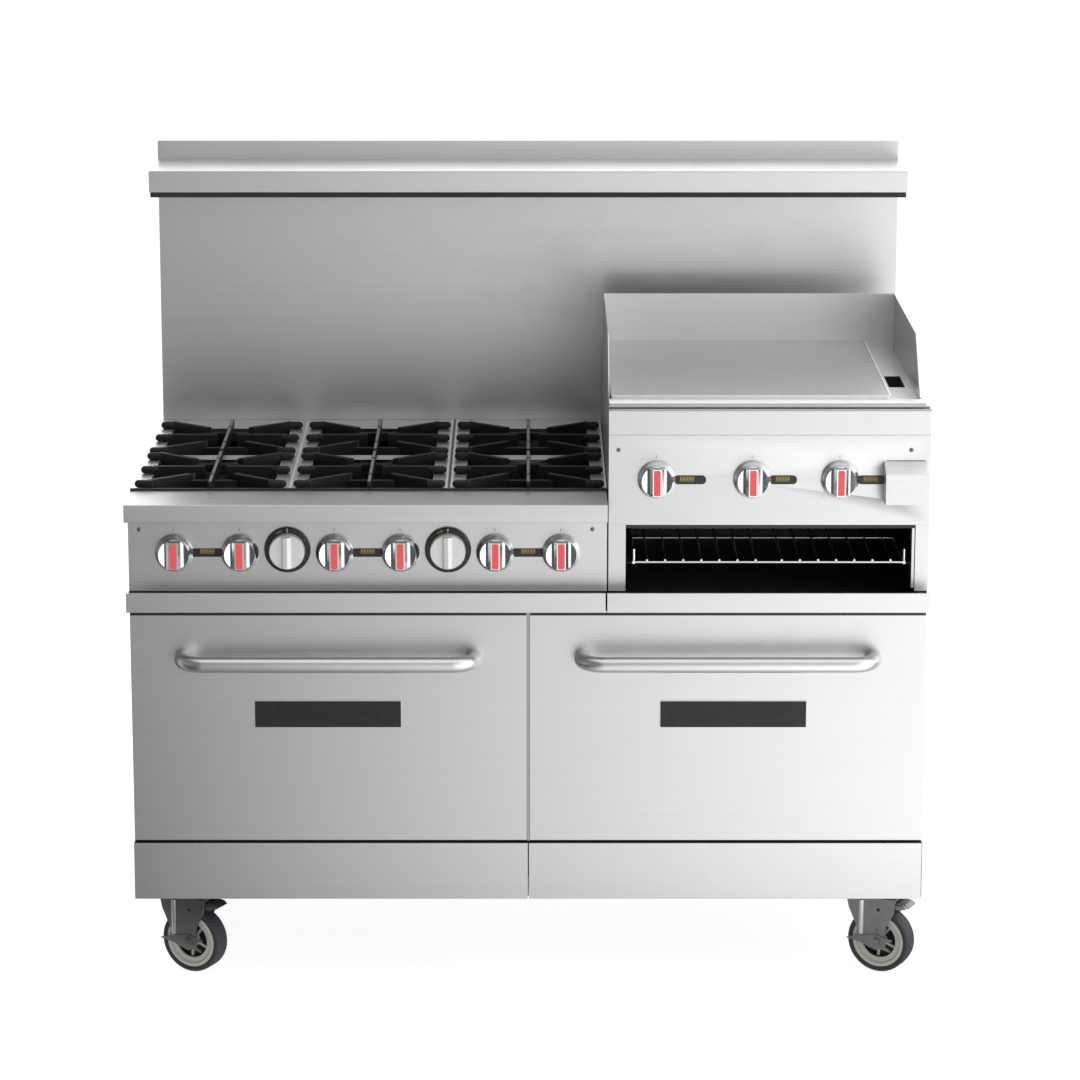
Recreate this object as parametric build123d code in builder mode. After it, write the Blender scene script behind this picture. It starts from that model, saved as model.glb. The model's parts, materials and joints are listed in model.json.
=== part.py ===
from build123d import *
from math import cos, radians, sin
import os

os.makedirs("parts", exist_ok=True)

# A 60 inch restaurant range: six open burners on the left, a raised griddle with a broiler under it
# on the right, two ovens below, on casters.  +X is to the cook's right, the front faces -Y, +Z is up.
# The origin is on the floor, under the centre of the whole range.

# ---------------------------------------------------------------- driving dimensions, millimetres
overall_width = 1524
overall_depth = 855
handle_reach = 75             # how far the door handles stand in front of the body
half_width = overall_width / 2
face_y = -overall_depth / 2 + handle_reach
back_y = overall_depth / 2
column_pitch = 304.8          # one burner column is 12 inches wide
split_x = half_width - 2 * column_pitch   # where the griddle section begins
sheet = 1.5                   # outer stainless steel sheet
heavy = 3.0                   # frame and hearth plate
weld_gap = 0.2                # seam left between separately cut plates

# heights above the floor
frame_z = 171.5
kick_top_z = 284.5
door_low_z = 291
door_top_z = 747.4
tray_low_z = 755
tray_top_z = 784
tray_lip_z = 793                # the tray's front rises a little above its top
panel_top_z = 932
deck_z = 966
griddle_panel_low_z = 916
fascia_fold_z = 1090
fascia_top_z = 1136
lip_z = 1153
griddle_z = 1160
splash_z = 1255
shelf_low_z = 1469
shelf_z = 1512
top_z = 1550

# depths measured back from the body's front face
rail_reach = 53
ledge_depth = 74
deck_back = 752
splash_back = 605
shelf_front = 570
riser_front = 754

# the ovens
oven_centre_x = half_width / 2
cavity_half = 336
cavity_low_z = 330
cavity_top_z = 690
cavity_front_y = face_y + 47
cavity_back_y = face_y + 705

# doors
door_depth = 40
door_side_gap = 3.0
pivot_inset = 8.0             # hinge pin behind the door's face and above its lower edge
pivot_y = face_y + pivot_inset
pivot_z = door_low_z + pivot_inset
pin_radius = 3.0
run_clearance = 0.05          # radial clearance of every pin, stem and axle in its bore
lug_thickness = 6.0
lug_inset = 11.0              # centre of a hinge lug inside the door's end

# controls
knob_z = 862
thermostat_z = 868
griddle_knob_z = 1004
knob_offset = 62.5            # a pair of burner knobs sits this far each side of its column's centre
griddle_knob_xs = (243, 424, 590)
thermostat_xs = (-457.2, -152.4)
column_xs = (-2 * column_pitch, -column_pitch, 0.0)
row_ys = (face_y + 228, face_y + 532)
stem_radius = 4.0
manifold_y = face_y + 52
manifold_z = knob_z
manifold_radius = 13.35       # three-quarter inch gas pipe
gas_x = -735                  # the supply comes in here, at the back

# casters
wheel_radius = 63.5
wheel_width = 40
caster_trail = 22
caster_turn = 27              # degrees that the parked casters are turned from straight
caster_x = 674
caster_ys = (face_y + 92, back_y - 95)
kingpin_radius = 6.0
axle_radius = 6.0


def plate(xs, ys, zs, mode=Mode.ADD):
    """Adds the flat plate that fills the given limits to the part being built."""
    limits = (xs, ys, zs)
    size = [high - low for low, high in limits]
    centre = [(low + high) / 2 for low, high in limits]
    with Locations(tuple(centre)):
        Box(*size, mode=mode)


def tube(radius, start, end, mode=Mode.ADD):
    """Adds a straight round bar from start to end to the part being built."""
    line = Vector(*end) - Vector(*start)
    middle = Vector(*start) + line / 2
    with Locations(Plane(origin=middle, z_dir=line).location):
        Cylinder(radius, line.length, mode=mode)


def save(part, name):
    part.label = name
    export_step(part, f"parts/{name}.step")


# ---------------------------------------------------------------- base frame and outer panels
rail = 40                     # square section of the base frame's rails
caster_plate = 96

with BuildPart() as base_frame:
    frame_low = frame_z + weld_gap
    frame_front = face_y + 16
    frame_back = back_y - 26
    for y in (frame_front, frame_back - rail):
        plate((-756, 756), (y, y + rail), (frame_low, frame_low + rail))
    for x in (-756, -rail / 2, 756 - rail):
        inner = (frame_front + rail + weld_gap, frame_back - rail - weld_gap)
        plate((x, x + rail), inner, (frame_low, frame_low + rail))
    for x in (-caster_x, caster_x):
        for y in caster_ys:
            with BuildSketch(Plane.XY.offset(frame_z - 4)):
                with Locations((x, y)):
                    RectangleRounded(caster_plate, caster_plate, 8)
            extrude(amount=4)
            tube(kingpin_radius, (x, y, frame_z - 4), (x, y, frame_z - 24))
save(base_frame.part, "base_frame")

with BuildPart() as side_panels:
    for side in (-1, 1):
        outer = side * half_width
        xs = sorted((outer, outer - side * sheet))
        plate(xs, (face_y + 20, back_y), (frame_z, panel_top_z))
save(side_panels.part, "side_panels")

rear_panel_y = back_y - 32
with BuildPart() as rear_panel:
    inner_half = half_width - sheet - weld_gap
    plate((-inner_half, inner_half), (rear_panel_y - sheet, rear_panel_y), (frame_z + 45, panel_top_z))
    with BuildSketch(Plane.XZ.offset(-rear_panel_y)):
        with Locations((0, 850)):
            with GridLocations(46, 40, 24, 1):
                SlotOverall(36, 9)
    extrude(amount=sheet, mode=Mode.SUBTRACT)
    with BuildSketch(Plane.XZ.offset(-rear_panel_y)):
        with Locations((gas_x, manifold_z)):
            Circle(manifold_radius + 4)
    extrude(amount=sheet, mode=Mode.SUBTRACT)
save(rear_panel.part, "rear_panel")

with BuildPart() as kick_panels:
    for xs in ((-half_width, -1), (1, half_width)):
        plate(xs, (face_y, face_y + sheet), (frame_z, kick_top_z))
        plate(xs, (face_y + sheet, face_y + 14), (kick_top_z - sheet, kick_top_z))
save(kick_panels.part, "kick_panels")

# ---------------------------------------------------------------- ovens
with BuildPart() as oven_liners:
    for side in (-1, 1):
        centre = side * oven_centre_x
        low = centre - cavity_half
        high = centre + cavity_half
        deep = (cavity_front_y + weld_gap, cavity_back_y)
        tall = (cavity_low_z, cavity_top_z)
        plate((low - sheet, low), deep, tall)
        plate((high, high + sheet), deep, tall)
        plate((low, high), deep, (cavity_top_z + weld_gap, cavity_top_z + weld_gap + sheet))
        inside = (low + weld_gap, high - weld_gap)
        plate(inside, (cavity_back_y - sheet, cavity_back_y), tall)
        for level in range(4):
            z = cavity_low_z + 70 + level * 68
            for x in (low + weld_gap, high - weld_gap - 14):
                plate((x, x + 14), (cavity_front_y + 25, cavity_back_y - 25), (z, z + 2))
save(oven_liners.part, "oven_liners")

with BuildPart() as oven_hearth_plates:
    for side in (-1, 1):
        centre = side * oven_centre_x
        hearth = (cavity_front_y + 12, cavity_back_y - 40)
        plate((centre - 333, centre + 333), hearth, (cavity_low_z - heavy, cavity_low_z))
        for y in (hearth[0] + 30, hearth[1] - 30):
            with BuildSketch(Plane.XY.offset(cavity_low_z)):
                with Locations((centre, y)):
                    with GridLocations(90, 1, 7, 1):
                        SlotOverall(64, 12)
            extrude(amount=-heavy, mode=Mode.SUBTRACT)
save(oven_hearth_plates.part, "oven_hearth_plates")

with BuildPart() as oven_burners:
    burner_z = 262
    for side in (-1, 1):
        x = side * oven_centre_x
        tube(19, (x, face_y + 130, burner_z), (x, cavity_back_y - 60, burner_z))
        with BuildSketch(Plane.XZ.offset(-(face_y + 130))):
            with Locations((x, burner_z)):
                Circle(12)
        with BuildSketch(Plane.XZ.offset(-(face_y + 80))):
            with Locations((x, burner_z)):
                Circle(22)
        loft()
save(oven_burners.part, "oven_burners")

with BuildPart() as oven_front_frame:
    front = (face_y + 44, face_y + 44 + heavy)
    sill = (kick_top_z + 1.5, cavity_low_z - 2)
    head = (cavity_top_z + 2, door_top_z + 2)
    jamb = (sill[1] + weld_gap, head[0] - weld_gap)
    outer = half_width - sheet - weld_gap
    plate((-outer, outer), front, sill)
    plate((-outer, outer), front, head)
    plate((-45, 45), front, jamb)
    plate((-outer, -717), front, jamb)
    plate((717, outer), front, jamb)
    for side in (-1, 1):
        for x in (side * (door_side_gap + lug_inset), side * (half_width - door_side_gap - lug_inset)):
            with BuildSketch(Plane.YZ.offset(x - lug_thickness / 2)):
                with Locations((pivot_y, pivot_z)):
                    Circle(5.5)
                with Locations(((pivot_y + front[0] - weld_gap) / 2, pivot_z)):
                    Rectangle(front[0] - weld_gap - pivot_y, 11)
                with Locations((pivot_y, pivot_z)):
                    Circle(pin_radius + run_clearance, mode=Mode.SUBTRACT)
            extrude(amount=lug_thickness)
save(oven_front_frame.part, "oven_front_frame")


def door_parts(side):
    """One oven door: the folded outer pan with its hinge pins, the inner panel and the handle."""
    name = "left" if side < 0 else "right"
    low, high = sorted((side * door_side_gap, side * (half_width - door_side_gap)))
    lug_xs = (low + lug_inset, high - lug_inset)
    back = face_y + door_depth
    notch = lug_thickness / 2 + 1.5

    with BuildPart() as outer:
        plate((low, high), (face_y, back), (door_low_z, door_top_z))
        hollow = (face_y + sheet, back)
        plate((low + sheet, high - sheet), hollow, (door_low_z + sheet, door_top_z - sheet), Mode.SUBTRACT)
        for x in lug_xs:
            slot = (pivot_y - 7, back)
            plate((x - notch, x + notch), slot, (door_low_z, door_low_z + sheet), Mode.SUBTRACT)
        for end, x in ((low + sheet, lug_xs[0]), (high - sheet, lug_xs[1])):
            inward = notch + 4 if x > end else -notch - 4
            tube(pin_radius, (end, pivot_y, pivot_z), (x + inward, pivot_y, pivot_z))
            tab = sorted((x + inward, x + inward + (2 if inward > 0 else -2)))
            plate(tab, (face_y + sheet, face_y + 20), (door_low_z + sheet, door_low_z + 20))
    save(outer.part, f"oven_door_{name}_outer")

    with BuildPart() as inner:
        cover = (back - sheet - weld_gap, back - weld_gap)
        plate((low + 2, high - 2), cover, (door_low_z + 2, door_top_z - 2))
        for x in (low + 12, high - 12):
            plate((x - 14, x + 14), cover, (door_low_z, door_low_z + 34), Mode.SUBTRACT)
        plug_x = side * oven_centre_x
        with BuildSketch(Plane.XZ.offset(-cover[1])):
            with Locations((plug_x, (cavity_low_z + cavity_top_z) / 2 + 8)):
                RectangleRounded(640, 320, 20)
        extrude(amount=-11, taper=25)
    save(inner.part, f"oven_door_{name}_inner")

    with BuildPart() as handle:
        length = 586
        radius = 15
        out_y = face_y - handle_reach + radius
        handle_z = 657
        x0 = side * oven_centre_x - length / 2 + radius
        x1 = side * oven_centre_x + length / 2 - radius
        corners = [(x0, face_y, handle_z), (x0, out_y, handle_z), (x1, out_y, handle_z), (x1, face_y, handle_z)]
        with BuildLine() as path:
            FilletPolyline(*corners, radius=42)
        with BuildSketch(Plane(origin=corners[0], z_dir=(0, -1, 0))):
            Circle(radius)
        sweep(path=path.line)
    save(handle.part, f"oven_door_{name}_handle")


for side in (-1, 1):
    door_parts(side)


def oven_rack(side):
    """A wire shelf: a rim of round bar with front-to-back wires on it."""
    name = "left" if side < 0 else "right"
    centre = side * oven_centre_x
    x0, x1 = centre - 327, centre + 327
    y0, y1 = cavity_front_y + 45, cavity_back_y - 30
    z = cavity_low_z + 70 + 2 * 68 + 2 + 3.3
    with BuildPart() as rack:
        for y in (y0, (y0 + y1) / 2, y1):
            tube(3, (x0, y, z), (x1, y, z))
        for x in (x0, x1):
            tube(3.2, (x, y0, z), (x, y1, z))
        wires = 22
        for i in range(1, wires):
            x = x0 + (x1 - x0) * i / wires
            tube(2, (x, y0, z + 3.4), (x, y1, z + 3.4))
    save(rack.part, f"oven_rack_{name}")


for side in (-1, 1):
    oven_rack(side)

# ---------------------------------------------------------------- crumb trays
tray_split_x = split_x - 6
tray_back_y = face_y + 640


def crumb_tray(name, x0, x1):
    """A shallow tray behind a folded front that stands proud of the body."""
    front_y = face_y - 44
    with BuildPart() as tray:
        plate((x0, x1), (front_y, front_y + sheet), (tray_low_z, tray_lip_z))
        plate((x0, x1), (front_y + sheet + weld_gap, face_y - 1), (tray_top_z - sheet, tray_top_z))
        inside = (x0 + 14, x1 - 14)
        floor_y = (front_y + sheet + weld_gap, tray_back_y)
        floor = (tray_low_z + 2, tray_low_z + 2 + sheet)
        plate(inside, floor_y, floor)
        wall_z = (floor[1] + weld_gap, tray_low_z + 26)
        for x in (inside[0], inside[1] - sheet):
            plate((x, x + sheet), floor_y, wall_z)
        plate((inside[0] + 2, inside[1] - 2), (tray_back_y - sheet, tray_back_y), wall_z)
    save(tray.part, name)


crumb_tray("crumb_tray_left", -half_width, tray_split_x)
crumb_tray("crumb_tray_right", tray_split_x + 3, half_width)

# ---------------------------------------------------------------- left controls and cooktop
with BuildPart() as control_panel:
    plate((-759.5, split_x - 3), (face_y, face_y + sheet), (tray_top_z + 3, panel_top_z - 1))
    with BuildSketch(Plane.XZ.offset(-face_y - sheet)):
        for x in column_xs:
            with Locations((x - knob_offset, knob_z), (x + knob_offset, knob_z)):
                Circle(stem_radius + 3)
        for x in thermostat_xs:
            with Locations((x, thermostat_z)):
                Circle(stem_radius + 3)
    extrude(amount=sheet, mode=Mode.SUBTRACT)
save(control_panel.part, "control_panel")

with BuildPart() as front_rail:
    with BuildSketch(Plane.YZ.offset(-half_width)):
        with BuildLine():
            front_y = face_y - rail_reach
            back_edge = face_y + ledge_depth
            Polyline(
                (face_y, panel_top_z),
                (front_y, panel_top_z),
                (front_y, deck_z),
                (back_edge, deck_z),
                (back_edge, deck_z - 20),
                (back_edge - sheet, deck_z - 20),
                (back_edge - sheet, deck_z - sheet),
                (front_y + sheet, deck_z - sheet),
                (front_y + sheet, panel_top_z + sheet),
                (face_y, panel_top_z + sheet),
                close=True,
            )
        make_face()
    extrude(amount=half_width + split_x - 3)
    bends = front_rail.edges().filter_by(Axis.X).group_by(Axis.Y)[0]
    fillet(bends, 1.2)
save(front_rail.part, "front_rail")

opening_half_x = 120
opening_half_y = 133
with BuildPart() as cooktop_deck:
    deck_front = face_y + ledge_depth + 3
    deck_low = deck_z - sheet
    y_edges = [deck_front]
    for y in row_ys:
        y_edges += [y - opening_half_y, y + opening_half_y]
    y_edges.append(face_y + deck_back)
    deck_left = -half_width
    deck_right = split_x - 2
    for i in (0, 2, 4):
        strip = (y_edges[i], y_edges[i + 1])
        plate((deck_left, deck_right), strip, (deck_low, deck_z))
    x_edges = [deck_left]
    for x in column_xs:
        x_edges += [x - opening_half_x, x + opening_half_x]
    x_edges.append(deck_right)
    for i in (0, 2, 4, 6):
        for j in (1, 3):
            strip = (y_edges[j] + weld_gap, y_edges[j + 1] - weld_gap)
            plate((x_edges[i], x_edges[i + 1]), strip, (deck_low, deck_z))
    skirt = (panel_top_z + 2, deck_low - weld_gap)
    for x in (deck_left, deck_right - sheet):
        plate((x, x + sheet), (deck_front, face_y + deck_back), skirt)
    plate((deck_left + 2, deck_right - 2), (face_y + deck_back - sheet, face_y + deck_back), skirt)
save(cooktop_deck.part, "cooktop_deck")

head_z = 944
with BuildPart() as open_burners:
    for x in column_xs:
        for row, y in enumerate(row_ys):
            with BuildSketch(Plane.XZ.offset(-y)) as profile:
                with BuildLine():
                    l1 = Polyline((x, head_z - 42), (x + 26, head_z - 42), (x + 37, head_z - 24), (x + 37, head_z - 14))
                    l2 = ThreePointArc(l1 @ 1, (x + 24, head_z - 9), (x + 19, head_z))
                    Polyline(l2 @ 1, (x, head_z), (x, head_z - 42))
                make_face()
            revolve(axis=Axis((x, y, 0), (0, 0, 1)))
            side = 1 if row == 0 else -1
            foot = (x + side * knob_offset, face_y + 88, head_z - 80)
            bend = (x + side * knob_offset, y - 62, head_z - 80)
            neck = (x, y, head_z - 80)
            with BuildLine() as route:
                FilletPolyline(foot, bend, neck, (x, y, head_z - 40), radius=18)
            with BuildSketch(Plane(origin=foot, z_dir=(0, 1, 0))):
                Circle(13)
            sweep(path=route.line)
save(open_burners.part, "open_burners")


def grate(name, x, y):
    """A cast-iron top grate: deep ribs that drop into the deck's opening, on short feet."""
    top = deck_z + 15
    rib_low = top - 28
    rib = 9
    ring_drop = 12
    foot_reach = 146
    with BuildPart() as casting:
        # front-to-back rib down the middle
        plate((x - 3.5, x + 3.5), (y - 148, y + 148), (top - 13, top))
        plate((x - 3.5, x + 3.5), (y - 128, y + 128), (rib_low, top - 13))
        # left-to-right rib, open over the burner
        for side in (-1, 1):
            span = sorted((x + side * 21, x + side * 118))
            plate(span, (y - rib / 2, y + rib / 2), (rib_low, top))
            foot = sorted((x + side * 117, x + side * (foot_reach - 6)))
            plate(foot, (y - 6, y + 6), (deck_z, top))
        # a lower square of bars round the burner joins the ribs
        ring_z = (rib_low, top - ring_drop)
        for side in (-1, 1):
            bar = (y + side * 74 - rib / 2, y + side * 74 + rib / 2)
            plate((x - 46, x + 46), bar, ring_z)
            bar = sorted((x + side * 38, x + side * 46))
            plate(bar, (y - 74, y + 74), ring_z)
        # diagonal ribs and their feet
        for sx in (-1, 1):
            for sy in (-1, 1):
                with BuildSketch(Plane.XY.offset(rib_low)):
                    with BuildLine():
                        Polyline(
                            (x + sx * 38, y + sy * 70),
                            (x + sx * 46, y + sy * 78),
                            (x + sx * 118, y + sy * 131),
                            (x + sx * 118, y + sy * 121),
                            (x + sx * 50, y + sy * 66),
                            (x + sx * 38, y + sy * 70),
                        )
                    make_face()
                extrude(amount=top - rib_low)
                foot = sorted((x + sx * 114, x + sx * (foot_reach - 6)))
                plate(foot, (y + sy * 127 - 6, y + sy * 127 + 6), (deck_z, top))
        # rounded foot ends
        ends = [(x + sx * (foot_reach - 6), y + dy) for sx in (-1, 1) for dy in (-127, 0, 127)]
        with BuildSketch(Plane.XY.offset(deck_z)):
            with Locations(*ends):
                Circle(6)
        extrude(amount=top - deck_z)
    save(casting.part, name)


for x, column in zip(column_xs, ("left", "centre", "right")):
    for y, row in zip(row_ys, ("front", "rear")):
        grate(f"grate_{row}_{column}", x, y)


# ---------------------------------------------------------------- knobs
def burner_knob(name, x, z):
    """A chromed knob: a dished skirt, a tapering body and a raised grip bar, on its valve stem."""
    with BuildPart() as knob:
        with BuildSketch(Plane.YZ.offset(x)):
            with BuildLine():
                front = face_y - 28
                Polyline(
                    (face_y - 2, z),
                    (face_y - 2, z + 34),
                    (face_y - 6, z + 35),
                    (face_y - 12, z + 32),
                    (front, z + 29),
                    (front, z),
                    close=True,
                )
            make_face()
        revolve(axis=Axis((x, 0, z), (0, 1, 0)))
        with BuildSketch(Plane.XZ.offset(-front)):
            with Locations((x, z)):
                Rectangle(24, 50)
        extrude(amount=9, taper=8)
        tube(stem_radius, (x, face_y - 3, z), (x, manifold_y - manifold_radius - 12, z))
    save(knob.part, name)


def thermostat_knob(name, x, z):
    """An oven dial: a black bezel disc behind a bright round knob with a grip ridge."""
    with BuildPart() as knob:
        tube(44, (x, face_y - 2, z), (x, face_y - 7, z))
        tube(33, (x, face_y - 7, z), (x, face_y - 26, z))
        with BuildSketch(Plane.XZ.offset(-(face_y - 26))):
            with Locations((x, z)):
                Rectangle(18, 62)
        extrude(amount=8, taper=5)
        tube(stem_radius, (x, face_y - 3, z), (x, manifold_y - manifold_radius - 12, z))
    save(knob.part, name)


burner_knob_places = []
for x in column_xs:
    burner_knob_places += [x - knob_offset, x + knob_offset]
for number, x in enumerate(burner_knob_places, start=1):
    burner_knob(f"burner_knob_{number}", x, knob_z)
for number, x in enumerate(griddle_knob_xs, start=1):
    burner_knob(f"griddle_knob_{number}", x, griddle_knob_z)
for name, x in zip(("left", "right"), thermostat_xs):
    thermostat_knob(f"thermostat_knob_{name}", x, thermostat_z)

# ---------------------------------------------------------------- gas train
riser_x = 168.7
elbow = manifold_radius + 1.2
inlet_coupling_y = rear_panel_y - 28
with BuildPart() as gas_manifold:
    coupling_end = inlet_coupling_y + 22
    start = (gas_x, inlet_coupling_y + weld_gap, manifold_z)
    tube(manifold_radius + 4, start, (gas_x, coupling_end, manifold_z))
    tube(manifold_radius, (gas_x, coupling_end + weld_gap, manifold_z), (gas_x, back_y, manifold_z))
    corners = [
        (gas_x, inlet_coupling_y, manifold_z),
        (gas_x, manifold_y, manifold_z),
        (riser_x, manifold_y, manifold_z),
        (riser_x, manifold_y, griddle_knob_z),
        (640, manifold_y, griddle_knob_z),
    ]
    for i, (start, end) in enumerate(zip(corners, corners[1:])):
        run = (Vector(*end) - Vector(*start)).normalized() * (elbow + weld_gap)
        first = Vector(*start) if i == 0 else Vector(*start) + run
        tube(manifold_radius, tuple(first), tuple(Vector(*end) - run))
    for corner in corners[1:]:
        with Locations(corner):
            Sphere(elbow)
save(gas_manifold.part, "gas_manifold")

valve_front = face_y + 14
valve_back = manifold_y - elbow - 1
with BuildPart() as gas_valves:
    burner_valves = [(x, knob_z) for x in burner_knob_places]
    griddle_valves = [(x, griddle_knob_z) for x in griddle_knob_xs]
    for x, z in burner_valves + griddle_valves:
        with BuildSketch(Plane.XZ.offset(-valve_front)):
            with Locations((x, z)):
                RegularPolygon(14, 6)
                Circle(stem_radius + run_clearance, mode=Mode.SUBTRACT)
        extrude(amount=-(valve_back - valve_front))
    for x in thermostat_xs:
        with BuildSketch(Plane.XZ.offset(-valve_front)):
            with Locations((x, thermostat_z)):
                RectangleRounded(56, 44, 4)
                Circle(stem_radius + run_clearance, mode=Mode.SUBTRACT)
        extrude(amount=-(valve_back - valve_front))
save(gas_valves.part, "gas_valves")

# ---------------------------------------------------------------- raised griddle section
section_left = split_x
section_right = half_width - sheet
cabinet_top_z = 1140
broiler_xs = (185, 735)
guard_right_x = 745           # outside of the splash guard's right wall
broiler_back_y = face_y + 560
drawer_xs = (677, 750)
drawer_zs = (966, 1041)

with BuildPart() as griddle_cabinet:
    front = (face_y, face_y + sheet)
    across = (section_left, section_right)
    plate(across, front, (griddle_panel_low_z, fascia_fold_z))
    with BuildSketch(Plane.XZ.offset(-front[1])):
        for x in griddle_knob_xs:
            with Locations((x, griddle_knob_z)):
                Circle(stem_radius + 3)
        with Locations((sum(drawer_xs) / 2, sum(drawer_zs) / 2)):
            Rectangle(drawer_xs[1] - drawer_xs[0], drawer_zs[1] - drawer_zs[0])
    extrude(amount=sheet, mode=Mode.SUBTRACT)
    plate(across, (face_y - 1, face_y + sheet), (fascia_fold_z + weld_gap, fascia_top_z))
    stile = (tray_top_z + 3, griddle_panel_low_z - weld_gap)
    plate((section_left, broiler_xs[0]), front, stile)
    plate((broiler_xs[1], section_right), front, stile)
    behind = (front[1] + weld_gap, rear_panel_y - sheet - weld_gap)
    wall = (tray_top_z + 3, cabinet_top_z - sheet - weld_gap)
    plate((section_left, section_left + sheet), behind, wall)
    with Locations((section_left, manifold_y, manifold_z)):
        Cylinder(manifold_radius + 3, 20, rotation=(0, 90, 0), mode=Mode.SUBTRACT)
    plate((section_right - sheet, section_right), behind, wall)
    between = (section_left + sheet + weld_gap, section_right - sheet - weld_gap)
    plate(between, (face_y + 12, face_y + 12 + sheet), (fascia_top_z + weld_gap, lip_z - 9 - weld_gap))
    plate(between, (face_y + splash_back + 3, face_y + splash_back + 3 + sheet), (deck_z, wall[1]))
    flue = (face_y + splash_back + 1, face_y + deck_back)
    plate((section_left, section_right), flue, (cabinet_top_z - sheet, cabinet_top_z))
    ledge = (guard_right_x + weld_gap, section_right)
    plate(ledge, (face_y + 31, flue[0] - weld_gap), (cabinet_top_z - sheet, cabinet_top_z))
    with BuildSketch(Plane.XY.offset(cabinet_top_z)):
        with Locations(((section_left + section_right) / 2, sum(flue) / 2)):
            with GridLocations(40, 50, 13, 2):
                SlotOverall(30, 8, rotation=90)
    extrude(amount=-sheet, mode=Mode.SUBTRACT)
save(griddle_cabinet.part, "griddle_cabinet")

liner_step_z = 950
liner_step_x = 665
liner_front_y = face_y + 75
with BuildPart() as broiler_liner:
    x0, x1 = broiler_xs
    floor_z = tray_top_z + 4
    top = cabinet_top_z - 6
    deep = (face_y + 4, broiler_back_y)
    upper = (liner_front_y + sheet + weld_gap, broiler_back_y)
    step = (liner_step_z, liner_step_z + sheet)
    plate((x0 - sheet, x0), deep, (floor_z, liner_step_z))
    plate((x0 - sheet, x0), upper, (liner_step_z + weld_gap, top))
    plate((x1, x1 + sheet), deep, (floor_z, liner_step_z))
    plate((liner_step_x + sheet + weld_gap, x1), upper, (step[0] - sheet - weld_gap, step[0] - weld_gap))
    plate((liner_step_x, liner_step_x + sheet), upper, (liner_step_z, top))
    plate((x0 + weld_gap, x1 - weld_gap), (broiler_back_y + weld_gap, broiler_back_y + sheet), (floor_z, liner_step_z))
    plate((x0 + weld_gap, liner_step_x), (broiler_back_y + weld_gap, broiler_back_y + sheet),
          (liner_step_z + weld_gap, top))
    plate((x0 + weld_gap, liner_step_x), (liner_front_y, liner_front_y + sheet), (griddle_panel_low_z - 14, top))
    for inner in ((x0 + weld_gap, x0 + 20), (x1 - 26, x1 - weld_gap)):
        plate(inner, (face_y + 30, broiler_back_y - 20), (833.5, 835))
save(broiler_liner.part, "broiler_liner")

with BuildPart() as griddle_burners:
    for x in (262, 422, 582):
        tube(16, (x, liner_front_y + 8, 1098), (x, broiler_back_y - 30, 1098))
save(griddle_burners.part, "griddle_burners")

griddle_edge_x = 683
guard = 2.0
with BuildPart() as griddle_plate:
    plate((section_left + guard + 2, griddle_edge_x), (face_y + 30, face_y + splash_back - guard - 1), (1141, griddle_z))
    fillet(griddle_plate.edges().filter_by(Axis.Z), 3)
    chamfer(griddle_plate.faces().sort_by(Axis.Z)[-1].edges(), 0.8)
save(griddle_plate.part, "griddle_plate")

with BuildPart() as griddle_splash_guard:
    low_z = cabinet_top_z + weld_gap
    for x in (section_left, guard_right_x - guard):
        with BuildSketch(Plane.YZ.offset(x)):
            with BuildLine():
                Polyline(
                    (face_y + 31, low_z),
                    (face_y + 31, lip_z),
                    (face_y + 63, lip_z),
                    (face_y + 165, splash_z),
                    (face_y + splash_back - guard - weld_gap, splash_z),
                    (face_y + splash_back - guard - weld_gap, low_z),
                    close=True,
                )
            make_face()
        extrude(amount=guard)
    plate((section_left, guard_right_x), (face_y + splash_back - guard, face_y + splash_back), (low_z, splash_z + 3))
    trough_xs = (griddle_edge_x + 2, guard_right_x - guard - weld_gap)
    trough_ys = (face_y + 31, face_y + splash_back - guard - weld_gap)
    plate(trough_xs, trough_ys, (1143, 1145))
    drain_xs = (697, 728)
    drain_ys = (face_y + 188, face_y + 305)
    plate(drain_xs, drain_ys, (1140, 1150), Mode.SUBTRACT)
    plate((section_left, guard_right_x + 5), (face_y - 3.5, face_y + 30), (lip_z - 9, lip_z))
    lip = griddle_splash_guard.edges().filter_by(Axis.X).group_by(Axis.Y)[0]
    fillet(lip, 2)
    chute = (drawer_zs[1] + 6, 1142.8)
    for x in (drain_xs[0] - sheet, drain_xs[1]):
        plate((x, x + sheet), drain_ys, chute)
    for y in (drain_ys[0] - sheet - weld_gap, drain_ys[1] + weld_gap):
        plate(drain_xs, (y, y + sheet), chute)
save(griddle_splash_guard.part, "griddle_splash_guard")

with BuildPart() as grease_drawer:
    pull_xs = (drawer_xs[0] - 4, drawer_xs[1] + 4)
    low, high = drawer_zs[0] - 3, drawer_zs[1] - 1
    with BuildSketch(Plane.YZ.offset(pull_xs[0])) as pull:
        with BuildLine():
            Polyline(
                (face_y - 0.5, low),
                (face_y - 40, low),
                (face_y - 40, high - 17),
                (face_y - 0.5, high),
                close=True,
            )
        make_face()
    extrude(amount=pull_xs[1] - pull_xs[0])
    plate((pull_xs[0] + sheet, pull_xs[1] - sheet), (face_y - 38.5, face_y), (low + sheet, high - 19), Mode.SUBTRACT)
    body_xs = (drawer_xs[0] + 3, drawer_xs[1] - 3)
    body_ys = (face_y, face_y + 330)
    floor = (drawer_zs[0] + 2, drawer_zs[0] + 2 + sheet)
    plate(body_xs, body_ys, floor)
    walls = (floor[1] + weld_gap, drawer_zs[1] - 6)
    for x in (body_xs[0], body_xs[1] - sheet):
        plate((x, x + sheet), body_ys, walls)
    across = (body_xs[0] + sheet + weld_gap, body_xs[1] - sheet - weld_gap)
    for y in (body_ys[0], body_ys[1] - sheet):
        plate(across, (y, y + sheet), walls)
save(grease_drawer.part, "grease_drawer")

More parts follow.
